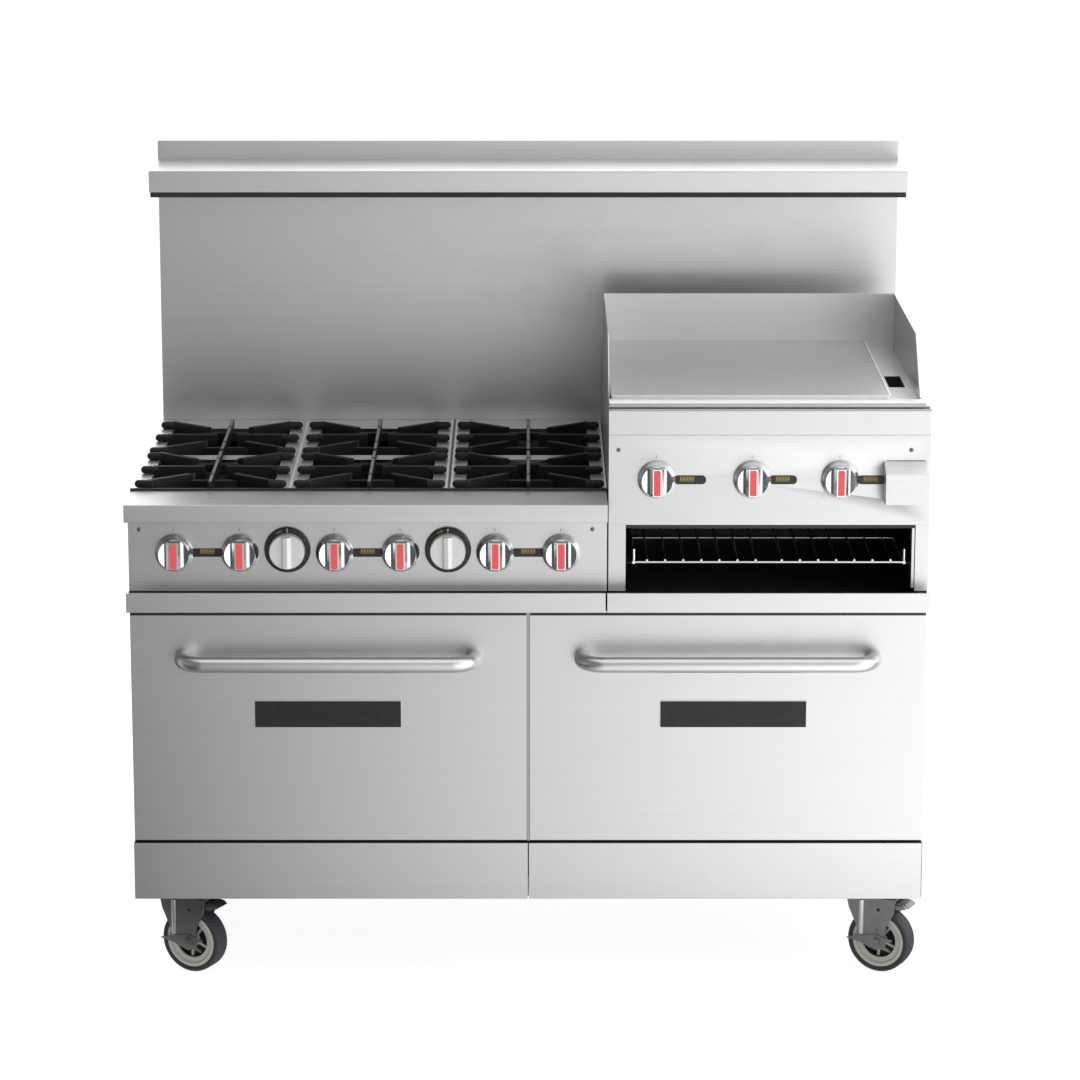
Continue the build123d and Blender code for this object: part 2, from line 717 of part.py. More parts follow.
with BuildPart() as broiler_rack:
    rack_z = 835 + 3.5
    rack_xs = (201, 716)
    rack_ys = (face_y + 20, face_y + 500)
    for y in (rack_ys[0], face_y + 222, rack_ys[1]):
        tube(2.5, (rack_xs[0], y, rack_z), (rack_xs[1], y, rack_z))
    for x in rack_xs:
        tube(3, (x, rack_ys[0] - 3, rack_z), (x, rack_ys[1] + 3, rack_z))
        tube(3, (x, rack_ys[0], rack_z + 3 + weld_gap), (x, rack_ys[0], rack_z + 26))
    wire_pitch = 34.5
    middle = sum(rack_xs) / 2
    for i in range(7):
        for side in (-1, 1):
            x = middle + side * (25 + i * wire_pitch)
            tube(2, (x, rack_ys[0], rack_z + 3.5), (x, rack_ys[1], rack_z + 3.5))
save(broiler_rack.part, "broiler_rack")

# ---------------------------------------------------------------- backsplash and high shelf
riser_y = face_y + riser_front
with BuildPart() as backsplash:
    half = half_width - 2
    low = panel_top_z + 2
    plate((-half, half), (riser_y, riser_y + sheet), (low, top_z - 2))
    behind = (riser_y + sheet + weld_gap, back_y - sheet - weld_gap)
    for x in (-half, half - sheet):
        plate((x, x + sheet), behind, (low, shelf_z))
    plate((-half, half), (back_y - sheet, back_y), (low, shelf_z))
    plate((-half, half), behind, (shelf_z + weld_gap, shelf_z + weld_gap + sheet))
save(backsplash.part, "backsplash")

with BuildPart() as high_shelf:
    front_y = face_y + shelf_front
    back = riser_y - weld_gap
    plate((-half_width, half_width), (front_y, back - sheet - weld_gap), (shelf_z - sheet, shelf_z))
    below = shelf_z - sheet - weld_gap
    plate((-half_width, half_width), (front_y, front_y + sheet), (shelf_low_z, below))
    plate((-half_width, half_width), (front_y + sheet + weld_gap, front_y + 27), (shelf_low_z, shelf_low_z + sheet))
    plate((-half_width, half_width), (front_y + 25.5, front_y + 27), (shelf_low_z - 14, shelf_low_z - weld_gap))
    ends = (shelf_low_z + sheet + weld_gap, below)
    for x in (-half_width, half_width - sheet):
        plate((x, x + sheet), (front_y + sheet + weld_gap, back - sheet - weld_gap), ends)
    plate((-half_width + 3, half_width - 3), (back - sheet, back), (shelf_low_z, top_z))
save(high_shelf.part, "high_shelf")

# ---------------------------------------------------------------- casters
fork_inner = 22
fork_sheet = 4
axle_x = caster_trail         # the wheel's centre, from the swivel axis
brake_x = 40
brake_z = 138
axle_axis = Axis((axle_x, 0, wheel_radius), (0, 1, 0))


def caster_fork():
    """Swivel housing, two legs, the axle with its head and nut, and the brake's pivot pin."""
    with BuildPart() as fork:
        with BuildSketch(Plane.XY.offset(frame_z - 4 - 0.5)):
            Circle(36)
            Circle(kingpin_radius + run_clearance, mode=Mode.SUBTRACT)
        extrude(amount=-14)
        with BuildSketch(Plane.XY.offset(frame_z - 4 - 14.5)):
            RectangleRounded(74, 2 * (fork_inner + fork_sheet), 6)
            Circle(kingpin_radius + run_clearance, mode=Mode.SUBTRACT)
        extrude(amount=-4)
        leg_top = frame_z - 22.7
        for y in (-fork_inner, fork_inner + fork_sheet):
            with BuildSketch(Plane.XZ.offset(-y)):
                with BuildLine():
                    Polyline(
                        (-32, leg_top),
                        (46, leg_top),
                        (46, brake_z - 8),
                        (axle_x + 17, wheel_radius),
                        (axle_x - 17, wheel_radius),
                        close=True,
                    )
                make_face()
                with Locations((axle_x, wheel_radius)):
                    Circle(17)
            extrude(amount=fork_sheet)
        reach = fork_inner - weld_gap
        tube(axle_radius, (axle_x, -reach, wheel_radius), (axle_x, reach, wheel_radius))
        tube(3, (brake_x, -reach, brake_z), (brake_x, reach, brake_z))
        for y in (-fork_inner - fork_sheet - weld_gap, fork_inner + fork_sheet + weld_gap + 7):
            with BuildSketch(Plane.XZ.offset(-y)):
                with Locations((axle_x, wheel_radius)):
                    RegularPolygon(10, 6)
            extrude(amount=7)
    return fork.part


def caster_wheel():
    """A moulded tyre on a ribbed hub that turns on the axle."""
    with BuildPart() as wheel:
        with BuildSketch(Plane.XY.offset(wheel_radius)):
            with Locations((axle_x + 55.25, 0)):
                RectangleRounded(16.5, wheel_width, 5)
        revolve(axis=axle_axis)
        with BuildSketch(Plane.XY.offset(wheel_radius)):
            with BuildLine():
                Polyline(
                    (axle_x + axle_radius + run_clearance, -20),
                    (axle_x + 15, -20),
                    (axle_x + 15, -7),
                    (axle_x + 38, -7),
                    (axle_x + 38, -15),
                    (axle_x + 46.8, -15),
                    (axle_x + 46.8, 15),
                    (axle_x + 38, 15),
                    (axle_x + 38, 7),
                    (axle_x + 15, 7),
                    (axle_x + 15, 20),
                    (axle_x + axle_radius + run_clearance, 20),
                    close=True,
                )
            make_face()
        revolve(axis=axle_axis)
        with BuildSketch(Plane.XZ.offset(-10)):
            with Locations((axle_x, wheel_radius)):
                with PolarLocations(26.5, 6):
                    Circle(7.5)
        extrude(amount=20, mode=Mode.SUBTRACT)
    return wheel.part


def caster_brake():
    """A foot pedal on a sleeve that rocks on the pin between the fork's legs."""
    with BuildPart() as brake:
        tube(6, (brake_x, -14, brake_z), (brake_x, 14, brake_z))
        plate((brake_x + 2, brake_x + 50), (-17, 17), (brake_z - 1, brake_z + 2.5))
        plate((brake_x + 46, brake_x + 50), (-17, 17), (brake_z - 10, brake_z))
        tube(3 + run_clearance, (brake_x, -18, brake_z), (brake_x, 18, brake_z), Mode.SUBTRACT)
    return brake.part


caster_places = [
    ("front_left", -caster_x, caster_ys[0]),
    ("front_right", caster_x, caster_ys[0]),
    ("rear_left", -caster_x, caster_ys[1]),
    ("rear_right", caster_x, caster_ys[1]),
]
for name, x, y in caster_places:
    place = Location((x, y, 0), (0, 0, -caster_turn))
    save(caster_fork().moved(place), f"caster_fork_{name}")
    save(caster_wheel().moved(place), f"caster_wheel_{name}")
    if name.startswith("front"):
        save(caster_brake().moved(place), f"caster_brake_{name}")
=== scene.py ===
import json
import math

import bmesh
import bpy
from mathutils import Matrix, Vector


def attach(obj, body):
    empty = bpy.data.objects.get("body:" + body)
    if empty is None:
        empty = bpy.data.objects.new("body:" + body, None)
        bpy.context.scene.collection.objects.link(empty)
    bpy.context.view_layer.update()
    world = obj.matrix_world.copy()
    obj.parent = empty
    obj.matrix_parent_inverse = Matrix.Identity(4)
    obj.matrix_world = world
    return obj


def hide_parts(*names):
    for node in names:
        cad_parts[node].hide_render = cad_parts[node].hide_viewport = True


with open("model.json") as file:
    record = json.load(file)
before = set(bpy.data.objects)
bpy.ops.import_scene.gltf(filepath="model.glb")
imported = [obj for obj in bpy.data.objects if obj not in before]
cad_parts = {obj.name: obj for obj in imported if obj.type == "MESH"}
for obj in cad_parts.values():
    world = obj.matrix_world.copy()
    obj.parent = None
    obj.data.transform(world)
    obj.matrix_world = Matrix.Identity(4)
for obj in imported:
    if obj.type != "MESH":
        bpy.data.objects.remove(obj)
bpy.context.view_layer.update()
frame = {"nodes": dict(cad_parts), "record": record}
nodes = frame["nodes"]
bodyOf = {}
for bodyName, members in frame["record"]["behaviour"]["bodies"].items():
    for member in members:
        bodyOf[member] = bodyName
faceY = -0.3525  # front face of the body, the doors and the panels
backY = 0.4275  # rearmost face
print("frame loaded,", len(nodes), "CAD nodes")


# ---- small helpers for node trees
def addNode(tree, kind, **settings):
    node = tree.nodes.new(kind)
    for key, value in settings.items():
        if hasattr(node, key):
            setattr(node, key, value)
        else:
            node.inputs[key.replace("_", " ")].default_value = value
    return node


def join(tree, fromSocket, toSocket):
    tree.links.new(fromSocket, toSocket)


def mathNode(tree, operation, first, second=None, clamp=False):
    node = tree.nodes.new("ShaderNodeMath")
    node.operation = operation
    node.use_clamp = clamp
    for index, value in enumerate((first, second)):
        if value is None:
            continue
        if isinstance(value, (int, float)):
            node.inputs[index].default_value = value
        else:
            join(tree, value, node.inputs[index])
    return node.outputs[0]


def mixColour(tree, mask, first, second):
    node = tree.nodes.new("ShaderNodeMix")
    node.data_type = "RGBA"
    for socket, value in ((node.inputs[0], mask), (node.inputs[6], first),
                          (node.inputs[7], second)):
        if isinstance(value, (int, float)):
            socket.default_value = value
        elif isinstance(value, tuple):
            socket.default_value = (*value, 1)
        else:
            join(tree, value, socket)
    return node.outputs[2]


def startGroup(name, inputs, outputs):
    tree = bpy.data.node_groups.new(name, "ShaderNodeTree")
    for label, kind, value in inputs:
        socket = tree.interface.new_socket(name=label, in_out="INPUT", socket_type=kind)
        socket.default_value = value
    for label, kind in outputs:
        tree.interface.new_socket(name=label, in_out="OUTPUT", socket_type=kind)
    return tree, tree.nodes.new("NodeGroupInput"), tree.nodes.new("NodeGroupOutput")


def spread(tree, value, low, high, outLow=0.0, outHigh=1.0):
    node = tree.nodes.new("ShaderNodeMapRange")
    join(tree, value, node.inputs["Value"])
    node.inputs["From Min"].default_value = low
    node.inputs["From Max"].default_value = high
    node.inputs["To Min"].default_value = outLow
    node.inputs["To Max"].default_value = outHigh
    return node.outputs["Result"]


# ---- shared effects, each one a group placed in several finishes
floatKind, vectorKind = "NodeSocketFloat", "NodeSocketVector"


def makeBrushedGrain():
    tree, start, end = startGroup(
        "brushedGrain",
        [("Stretch", vectorKind, (4, 4, 700)), ("Depth", floatKind, 1.0)],
        [("Height", floatKind), ("Streak", floatKind)],
    )
    place = addNode(tree, "ShaderNodeTexCoord")
    scaled = addNode(tree, "ShaderNodeMapping")
    join(tree, place.outputs["Object"], scaled.inputs["Vector"])
    join(tree, start.outputs["Stretch"], scaled.inputs["Scale"])
    fine = addNode(tree, "ShaderNodeTexNoise", Scale=1.0, Detail=3.0, Roughness=0.6)
    broad = addNode(tree, "ShaderNodeTexNoise", Scale=0.12, Detail=2.0, Roughness=0.5)
    for noise in (fine, broad):
        join(tree, scaled.outputs[0], noise.inputs["Vector"])
    height = mathNode(tree, "MULTIPLY", fine.outputs["Fac"], start.outputs["Depth"])
    join(tree, height, end.inputs["Height"])
    mixed = mathNode(tree, "ADD", mathNode(tree, "MULTIPLY", fine.outputs["Fac"], 0.5),
                     mathNode(tree, "MULTIPLY", broad.outputs["Fac"], 0.5))
    join(tree, spread(tree, mixed, 0.35, 0.65), end.inputs["Streak"])
    return tree


def makeWipeMarks():
    tree, start, end = startGroup(
        "wipeMarks",
        [("Size", floatKind, 3.0), ("Strength", floatKind, 1.0)],
        [("Cloud", floatKind), ("Smear", floatKind)],
    )
    place = addNode(tree, "ShaderNodeTexCoord")
    cloud = addNode(tree, "ShaderNodeTexNoise", Detail=4.0, Roughness=0.55, Distortion=0.6)
    join(tree, place.outputs["Object"], cloud.inputs["Vector"])
    join(tree, start.outputs["Size"], cloud.inputs["Scale"])
    smear = addNode(tree, "ShaderNodeTexNoise", Detail=6.0, Roughness=0.7, Distortion=2.2)
    join(tree, place.outputs["Object"], smear.inputs["Vector"])
    join(tree, mathNode(tree, "MULTIPLY", start.outputs["Size"], 4.0), smear.inputs["Scale"])
    cloudMask = spread(tree, cloud.outputs["Fac"], 0.35, 0.68)
    smearMask = spread(tree, smear.outputs["Fac"], 0.52, 0.72)
    join(tree, mathNode(tree, "MULTIPLY", cloudMask, start.outputs["Strength"]),
         end.inputs["Cloud"])
    join(tree, mathNode(tree, "MULTIPLY", smearMask, start.outputs["Strength"]),
         end.inputs["Smear"])
    return tree


def makeEdgeWear():
    tree, start, end = startGroup(
        "edgeWear",
        [("Reach", floatKind, 0.001), ("Patchiness", floatKind, 0.5)],
        [("Mask", floatKind)],
    )
    rounded = addNode(tree, "ShaderNodeBevel", samples=4)
    join(tree, start.outputs["Reach"], rounded.inputs["Radius"])
    real = addNode(tree, "ShaderNodeNewGeometry")
    angle = addNode(tree, "ShaderNodeVectorMath", operation="DOT_PRODUCT")
    join(tree, rounded.outputs[0], angle.inputs[0])
    join(tree, real.outputs["Normal"], angle.inputs[1])
    edge = spread(tree, angle.outputs["Value"], 0.995, 0.86)
    place = addNode(tree, "ShaderNodeTexCoord")
    patch = addNode(tree, "ShaderNodeTexNoise", Scale=60.0, Detail=3.0)
    join(tree, place.outputs["Object"], patch.inputs["Vector"])
    kept = mathNode(tree, "SUBTRACT", 1.0, mathNode(tree, "MULTIPLY", patch.outputs["Fac"],
                                                     start.outputs["Patchiness"]))
    join(tree, mathNode(tree, "MULTIPLY", edge, kept, clamp=True), end.inputs["Mask"])
    return tree


def makeCastGrain():
    tree, start, end = startGroup(
        "castGrain",
        [("Scale", floatKind, 900.0)],
        [("Height", floatKind), ("Speckle", floatKind)],
    )
    place = addNode(tree, "ShaderNodeTexCoord")
    sand = addNode(tree, "ShaderNodeTexNoise", Detail=5.0, Roughness=0.65)
    pits = addNode(tree, "ShaderNodeTexVoronoi", feature="F1")
    join(tree, place.outputs["Object"], sand.inputs["Vector"])
    join(tree, place.outputs["Object"], pits.inputs["Vector"])
    join(tree, start.outputs["Scale"], sand.inputs["Scale"])
    join(tree, mathNode(tree, "MULTIPLY", start.outputs["Scale"], 0.7), pits.inputs["Scale"])
    pitDepth = spread(tree, pits.outputs["Distance"], 0.0, 0.45)
    join(tree, mathNode(tree, "ADD", sand.outputs["Fac"],
                        mathNode(tree, "MULTIPLY", pitDepth, 0.4)),
         end.inputs["Height"])
    join(tree, spread(tree, sand.outputs["Fac"], 0.4, 0.65), end.inputs["Speckle"])
    return tree


def makeDust():
    tree, start, end = startGroup(
        "settledDust",
        [("Amount", floatKind, 0.3), ("Scale", floatKind, 20.0)],
        [("Mask", floatKind)],
    )
    real = addNode(tree, "ShaderNodeNewGeometry")
    split = addNode(tree, "ShaderNodeSeparateXYZ")
    join(tree, real.outputs["Normal"], split.inputs[0])
    upward = spread(tree, split.outputs["Z"], 0.2, 0.9)
    place = addNode(tree, "ShaderNodeTexCoord")
    cloud = addNode(tree, "ShaderNodeTexNoise", Detail=5.0, Roughness=0.7)
    join(tree, place.outputs["Object"], cloud.inputs["Vector"])
    join(tree, start.outputs["Scale"], cloud.inputs["Scale"])
    patchy = spread(tree, cloud.outputs["Fac"], 0.35, 0.7)
    join(tree, mathNode(tree, "MULTIPLY", mathNode(tree, "MULTIPLY", upward, patchy),
                        start.outputs["Amount"]), end.inputs["Mask"])
    return tree


effects = {
    "brushedGrain": makeBrushedGrain(),
    "wipeMarks": makeWipeMarks(),
    "edgeWear": makeEdgeWear(),
    "castGrain": makeCastGrain(),
    "settledDust": makeDust(),
}


def placeEffect(tree, name, **values):
    node = tree.nodes.new("ShaderNodeGroup")
    node.node_tree = effects[name]
    node.label = name
    for key, value in values.items():
        node.inputs[key].default_value = value
    return node


def startMaterial(name, **fixed):
    material = bpy.data.materials.new(name)
    material.use_nodes = True
    tree = material.node_tree
    shader = tree.nodes["Principled BSDF"]
    for key, value in fixed.items():
        shader.inputs[key.replace("_", " ")].default_value = value
    return material, tree, shader


def giveBump(tree, shader, height, strength, distance):
    bump = addNode(tree, "ShaderNodeBump", Strength=strength, Distance=distance)
    join(tree, height, bump.inputs["Height"])
    join(tree, bump.outputs[0], shader.inputs["Normal"])


# ---- finishes
def brushedMetal(name, look):
    material, tree, shader = startMaterial(name, Metallic=1.0)
    grain = placeEffect(tree, "brushedGrain", Stretch=look["stretch"])
    wipes = placeEffect(tree, "wipeMarks", Size=look["wipeSize"])
    wear = placeEffect(tree, "edgeWear", Reach=look["edgeReach"], Patchiness=0.4)
    dark, light = look["dark"], look["light"]
    tone = mixColour(tree, grain.outputs["Streak"], dark, light)
    cloudy = mathNode(tree, "MULTIPLY", wipes.outputs["Cloud"], look["cloud"])
    tone = mixColour(tree, cloudy, tone, look["tint"])
    edge = mathNode(tree, "MULTIPLY", wear.outputs["Mask"], 0.5)
    tone = mixColour(tree, edge, tone, look["edge"])
    join(tree, tone, shader.inputs["Base Color"])
    rough = mathNode(tree, "ADD", look["roughness"],
                     mathNode(tree, "MULTIPLY", grain.outputs["Streak"], look["roughSpread"]))
    rough = mathNode(tree, "ADD", rough, mathNode(tree, "MULTIPLY", wipes.outputs["Smear"],
                                                  look["smear"]))
    join(tree, rough, shader.inputs["Roughness"])
    giveBump(tree, shader, grain.outputs["Height"], look["bump"], 0.0002)
    return material


steelLook = {
    "stretch": (6, 6, 1800),  # grain runs left to right
    "dark": (0.600, 0.600, 0.597),
    "light": (0.635, 0.635, 0.635),
    "tint": (0.585, 0.59, 0.60),
    "edge": (0.88, 0.88, 0.88),
    "cloud": 0.18,
    "wipeSize": 2.2,
    "edgeReach": 0.0012,
    "roughness": 0.34,
    "roughSpread": 0.05,
    "smear": 0.04,
    "bump": 0.03,
}
stainless = brushedMetal("satinStainless", steelLook)
tubeSteel = brushedMetal("satinTube", {**steelLook, "stretch": (8, 900, 900),
                                       "dark": (0.62, 0.62, 0.62),
                                       "light": (0.68, 0.68, 0.68), "roughness": 0.30,
                                       "bump": 0.04})
# a light steel used only for painted highlights on lips, beads, edges and tops
highlightSteel = brushedMetal("paintedHighlightSteel", {**steelLook, "stretch": (6, 300, 300),
                                          "dark": (0.88, 0.88, 0.88),
                                          "light": (0.94, 0.94, 0.94), "roughness": 0.46,
                                          "bump": 0.02})
griddleLook = {
    **steelLook,
    "stretch": (700, 6, 6),  # ground front to back
    "dark": (0.66, 0.66, 0.66),
    "light": (0.71, 0.71, 0.71),
    "tint": (0.62, 0.61, 0.60),
    "cloud": 0.25,
    "wipeSize": 3.0,
    "roughness": 0.30,
    "roughSpread": 0.06,
    "smear": 0.05,
    "bump": 0.03,
}
griddleSteel = brushedMetal("groundGriddle", griddleLook)
zincLook = {**steelLook, "stretch": (60, 60, 60), "dark": (0.19, 0.195, 0.205),
            "light": (0.28, 0.285, 0.295),
            "tint": (0.24, 0.225, 0.20), "edge": (0.62, 0.62, 0.63), "cloud": 0.5, "wipeSize": 30.0,
            "roughness": 0.38,
            "bump": 0.1}
# a darker copy of the stainless, used for painted shade in gaps, recesses and on the guard lip's
# front face
shadedSteel = brushedMetal("shadedSteel", {**steelLook, "dark": (0.34, 0.34, 0.34),
                                           "light": (0.38, 0.38, 0.38)})
zincPlate = brushedMetal("zincPlate", zincLook)


def chromePlate(name, tone, roughness):
    material, tree, shader = startMaterial(name, Metallic=1.0)
    wipes = placeEffect(tree, "wipeMarks", Size=22.0)
    wear = placeEffect(tree, "edgeWear", Reach=0.0006, Patchiness=0.7)
    shade = mixColour(tree, mathNode(tree, "MULTIPLY", wipes.outputs["Cloud"], 0.3), tone,
                      tuple(c * 0.86 for c in tone))
    shade = mixColour(tree, mathNode(tree, "MULTIPLY", wear.outputs["Mask"], 0.3), shade,
                      (0.93, 0.93, 0.93))
    join(tree, shade, shader.inputs["Base Color"])
    rough = mathNode(tree, "ADD", roughness, mathNode(tree, "MULTIPLY", wipes.outputs["Smear"],
                                                      0.09))
    join(tree, rough, shader.inputs["Roughness"])
    return material


chrome = chromePlate("knobChrome", (0.76, 0.785, 0.80), 0.15)
wireChrome = chromePlate("wireChrome", (0.72, 0.73, 0.74), 0.16)


def castMetal(name, look):
    material, tree, shader = startMaterial(name, Metallic=look["metallic"])
    grain = placeEffect(tree, "castGrain", Scale=look["grainScale"])
    wear = placeEffect(tree, "edgeWear", Reach=look["edgeReach"], Patchiness=0.6)
    dust = placeEffect(tree, "settledDust", Amount=look["dust"], Scale=30.0)
    tone = mixColour(tree, grain.outputs["Speckle"], look["dark"], look["light"])
    tone = mixColour(tree, mathNode(tree, "MULTIPLY", wear.outputs["Mask"], look["wear"]), tone,
                     look["worn"])
    tone = mixColour(tree, dust.outputs["Mask"], tone, look["dustTone"])
    join(tree, tone, shader.inputs["Base Color"])
    rough = mathNode(tree, "ADD", look["roughness"],
                     mathNode(tree, "MULTIPLY", grain.outputs["Speckle"], look["roughSpread"]))
    join(tree, rough, shader.inputs["Roughness"])
    giveBump(tree, shader, grain.outputs["Height"], look["bump"], 0.0004)
    return material


ironLook = {
    "metallic": 0.0,
    "grainScale": 700.0,
    "edgeReach": 0.0016,
    "dark": (0.006, 0.006, 0.006),
    "light": (0.014, 0.014, 0.014),
    "worn": (0.10, 0.10, 0.10),
    "dustTone": (0.06, 0.06, 0.06),
    "wear": 0.5,
    "dust": 0.06,
    "roughness": 0.45,
    "roughSpread": 0.2,
    "bump": 0.35,
}
castIron = castMetal("castIron", ironLook)
# a lighter copy of the cast iron for the painted highlight along the top of each grate's middle rib
ribHighlight = castMetal("paintedRibHighlight", {**ironLook, "metallic": 0.8, "dark": (0.26, 0.26, 0.26),
                                   "light": (0.36, 0.36, 0.36), "roughness": 0.35, "bump": 0.15,
                                   "dust": 0.0})
burnerIron = castMetal("burnerIron", {**ironLook, "metallic": 0.4, "dark": (0.13, 0.13, 0.13),
                                      "light": (0.20, 0.20, 0.195), "worn": (0.32, 0.31, 0.30),
                                      "roughness": 0.5, "dust": 0.1})
blackEnamel = castMetal("blackEnamel", {**ironLook, "grainScale": 260.0,
                                        "dark": (0.030, 0.030, 0.031),
                                        "light": (0.042, 0.042, 0.043), "roughness": 0.45,
                                        "roughSpread": 0.1, "bump": 0.08, "dust": 0.05})
for finish in (castIron, blackEnamel):
    finish.node_tree.nodes["Principled BSDF"].inputs["Specular IOR Level"].default_value = 0.25
blackPlastic = castMetal("blackPlastic", {**ironLook, "grainScale": 1500.0,
                                          "light": (0.016, 0.016, 0.016),
                                          "worn": (0.05, 0.05, 0.05), "roughness": 0.32,
                                          "bump": 0.1, "dust": 0.0})
hubPlastic = castMetal("hubPlastic", {**ironLook, "grainScale": 500.0, "dark": (0.36, 0.37, 0.33),
                                      "light": (0.44, 0.45, 0.40), "worn": (0.55, 0.55, 0.50),
                                      "dustTone": (0.30, 0.28, 0.24), "dust": 0.3, "roughness": 0.5,
                                      "bump": 0.15})
tyreRubber = castMetal("tyreRubber", {**ironLook, "grainScale": 900.0,
                                      "dark": (0.017, 0.020, 0.026),
                                      "light": (0.030, 0.035, 0.043), "worn": (0.08, 0.08, 0.085),
                                      "dustTone": (0.10, 0.10, 0.10), "dust": 0.15,
                                      "roughness": 0.55, "bump": 0.3})
blackPipe = castMetal("blackPipe", {**ironLook, "metallic": 0.6, "grainScale": 400.0,
                                    "dark": (0.030, 0.030, 0.032),
                                    "light": (0.05, 0.05, 0.052), "roughness": 0.45})
brassLook = {**ironLook, "metallic": 1.0, "grainScale": 500.0, "dark": (0.52, 0.36, 0.14),
             "light": (0.66, 0.47, 0.20), "worn": (0.80, 0.62, 0.30), "dustTone": (0.3, 0.24, 0.15),
             "roughness": 0.3, "bump": 0.1}
brass = castMetal("machinedBrass", brassLook)


def spangledZinc():
    material, tree, shader = startMaterial("galvanisedSheet", Metallic=1.0)
    place = addNode(tree, "ShaderNodeTexCoord")
    flakes = addNode(tree, "ShaderNodeTexVoronoi", feature="F1", Scale=85.0, Randomness=1.0)
    join(tree, place.outputs["Object"], flakes.inputs["Vector"])
    bright = addNode(tree, "ShaderNodeSeparateColor")
    join(tree, flakes.outputs["Color"], bright.inputs[0])
    tone = mixColour(tree, bright.outputs[0], (0.47, 0.48, 0.49), (0.57, 0.58, 0.59))
    dust = placeEffect(tree, "settledDust", Amount=0.3, Scale=18.0)
    tone = mixColour(tree, dust.outputs["Mask"], tone, (0.42, 0.39, 0.34))
    join(tree, tone, shader.inputs["Base Color"])
    join(tree, spread(tree, bright.outputs[1], 0.0, 1.0, 0.28, 0.5), shader.inputs["Roughness"])
    wipes = placeEffect(tree, "wipeMarks", Size=8.0)
    giveBump(tree, shader, wipes.outputs["Smear"], 0.05, 0.0005)
    return material


galvanised = spangledZinc()


def printedPaint(name, tone, faded, roughness):
    material, tree, shader = startMaterial(name, Metallic=0.0)
    wipes = placeEffect(tree, "wipeMarks", Size=60.0)
    grain = placeEffect(tree, "castGrain", Scale=1800.0)
    join(tree, mixColour(tree, mathNode(tree, "MULTIPLY", wipes.outputs["Cloud"], 0.6), tone,
                         faded),
         shader.inputs["Base Color"])
    join(tree, mathNode(tree, "ADD", roughness,
                        mathNode(tree, "MULTIPLY", wipes.outputs["Smear"], 0.15)),
         shader.inputs["Roughness"])
    giveBump(tree, shader, grain.outputs["Height"], 0.05, 0.0002)
    return material


redInsert = printedPaint("redInsert", (0.76, 0.070, 0.080), (0.68, 0.08, 0.085), 0.42)
dialSilver = printedPaint("dialSilver", (0.66, 0.66, 0.66), (0.60, 0.60, 0.60), 0.36)
dialSilver.node_tree.nodes["Principled BSDF"].inputs["Metallic"].default_value = 0.35
amberInk = printedPaint("amberInk", (0.30, 0.20, 0.045), (0.20, 0.13, 0.03), 0.45)
whiteInk = printedPaint("whiteInk", (0.75, 0.75, 0.72), (0.6, 0.6, 0.57), 0.5)
greyInk = printedPaint("greyInk", (0.12, 0.12, 0.12), (0.2, 0.2, 0.2), 0.5)
plateBlack = printedPaint("plateBlack", (0.014, 0.014, 0.014), (0.022, 0.022, 0.022), 0.38)
plateBlack.node_tree.nodes["Principled BSDF"].inputs["Specular IOR Level"].default_value = 0.3
print("finishes made,", len(bpy.data.materials), "materials")


# ---- mesh helpers
def asPiece(name, mesh, materials, body, replaced=()):
    piece = bpy.data.objects.new(name, mesh)
    bpy.context.scene.collection.objects.link(piece)
    for material in materials:
        mesh.materials.append(material)
    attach(piece, body)
    if replaced:
        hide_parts(*replaced)
    return piece


def roundEdges(piece, width, segments=2, angle=30):
    mod = piece.modifiers.new("roundedEdges", "BEVEL")
    mod.width = width
    mod.segments = segments
    mod.limit_method = "ANGLE"
    mod.angle_limit = math.radians(angle)
    mod.harden_normals = True
    mod.miter_outer = "MITER_ARC"


def smoothMesh(mesh, angle=30):
    mesh.shade_smooth()
    mesh.set_sharp_from_angle(angle=math.radians(angle))


def cleanCopy(node):
    shape = bmesh.new()
    shape.from_mesh(nodes[node].data)
    bmesh.ops.remove_doubles(shape, verts=shape.verts, dist=1e-5)
    bmesh.ops.dissolve_limit(shape, angle_limit=math.radians(0.6), verts=shape.verts,
                             edges=shape.edges)
    return shape


def refine(node, material, width=0.0008, segments=2, angle=30, facePick=None, extra=()):
    shape = cleanCopy(node)
    for face in shape.faces:
        face.material_index = facePick(face) if facePick else 0
    mesh = bpy.data.meshes.new(node + "_look")
    shape.to_mesh(mesh)
    shape.free()
    smoothMesh(mesh, angle)
    piece = asPiece(node + "_look", mesh, [material, *extra], bodyOf[node], (node,))
    if width:
        roundEdges(piece, width, segments, angle)
    return piece


def paint(node, material):
    mesh = nodes[node].data
    mesh.materials.clear()
    mesh.materials.append(material)


def addBox(shape, xs, ys, zs, index=0):
    before = set(shape.faces)
    size = Vector((xs[1] - xs[0], ys[1] - ys[0], zs[1] - zs[0]))
    centre = Vector(((xs[0] + xs[1]) / 2, (ys[0] + ys[1]) / 2, (zs[0] + zs[1]) / 2))
    made = bmesh.ops.create_cube(shape, size=1,
                                 matrix=Matrix.Translation(centre) @ Matrix.Diagonal((*size, 1)))
    for face in set(shape.faces) - before:
        face.material_index = index
    return made["verts"]


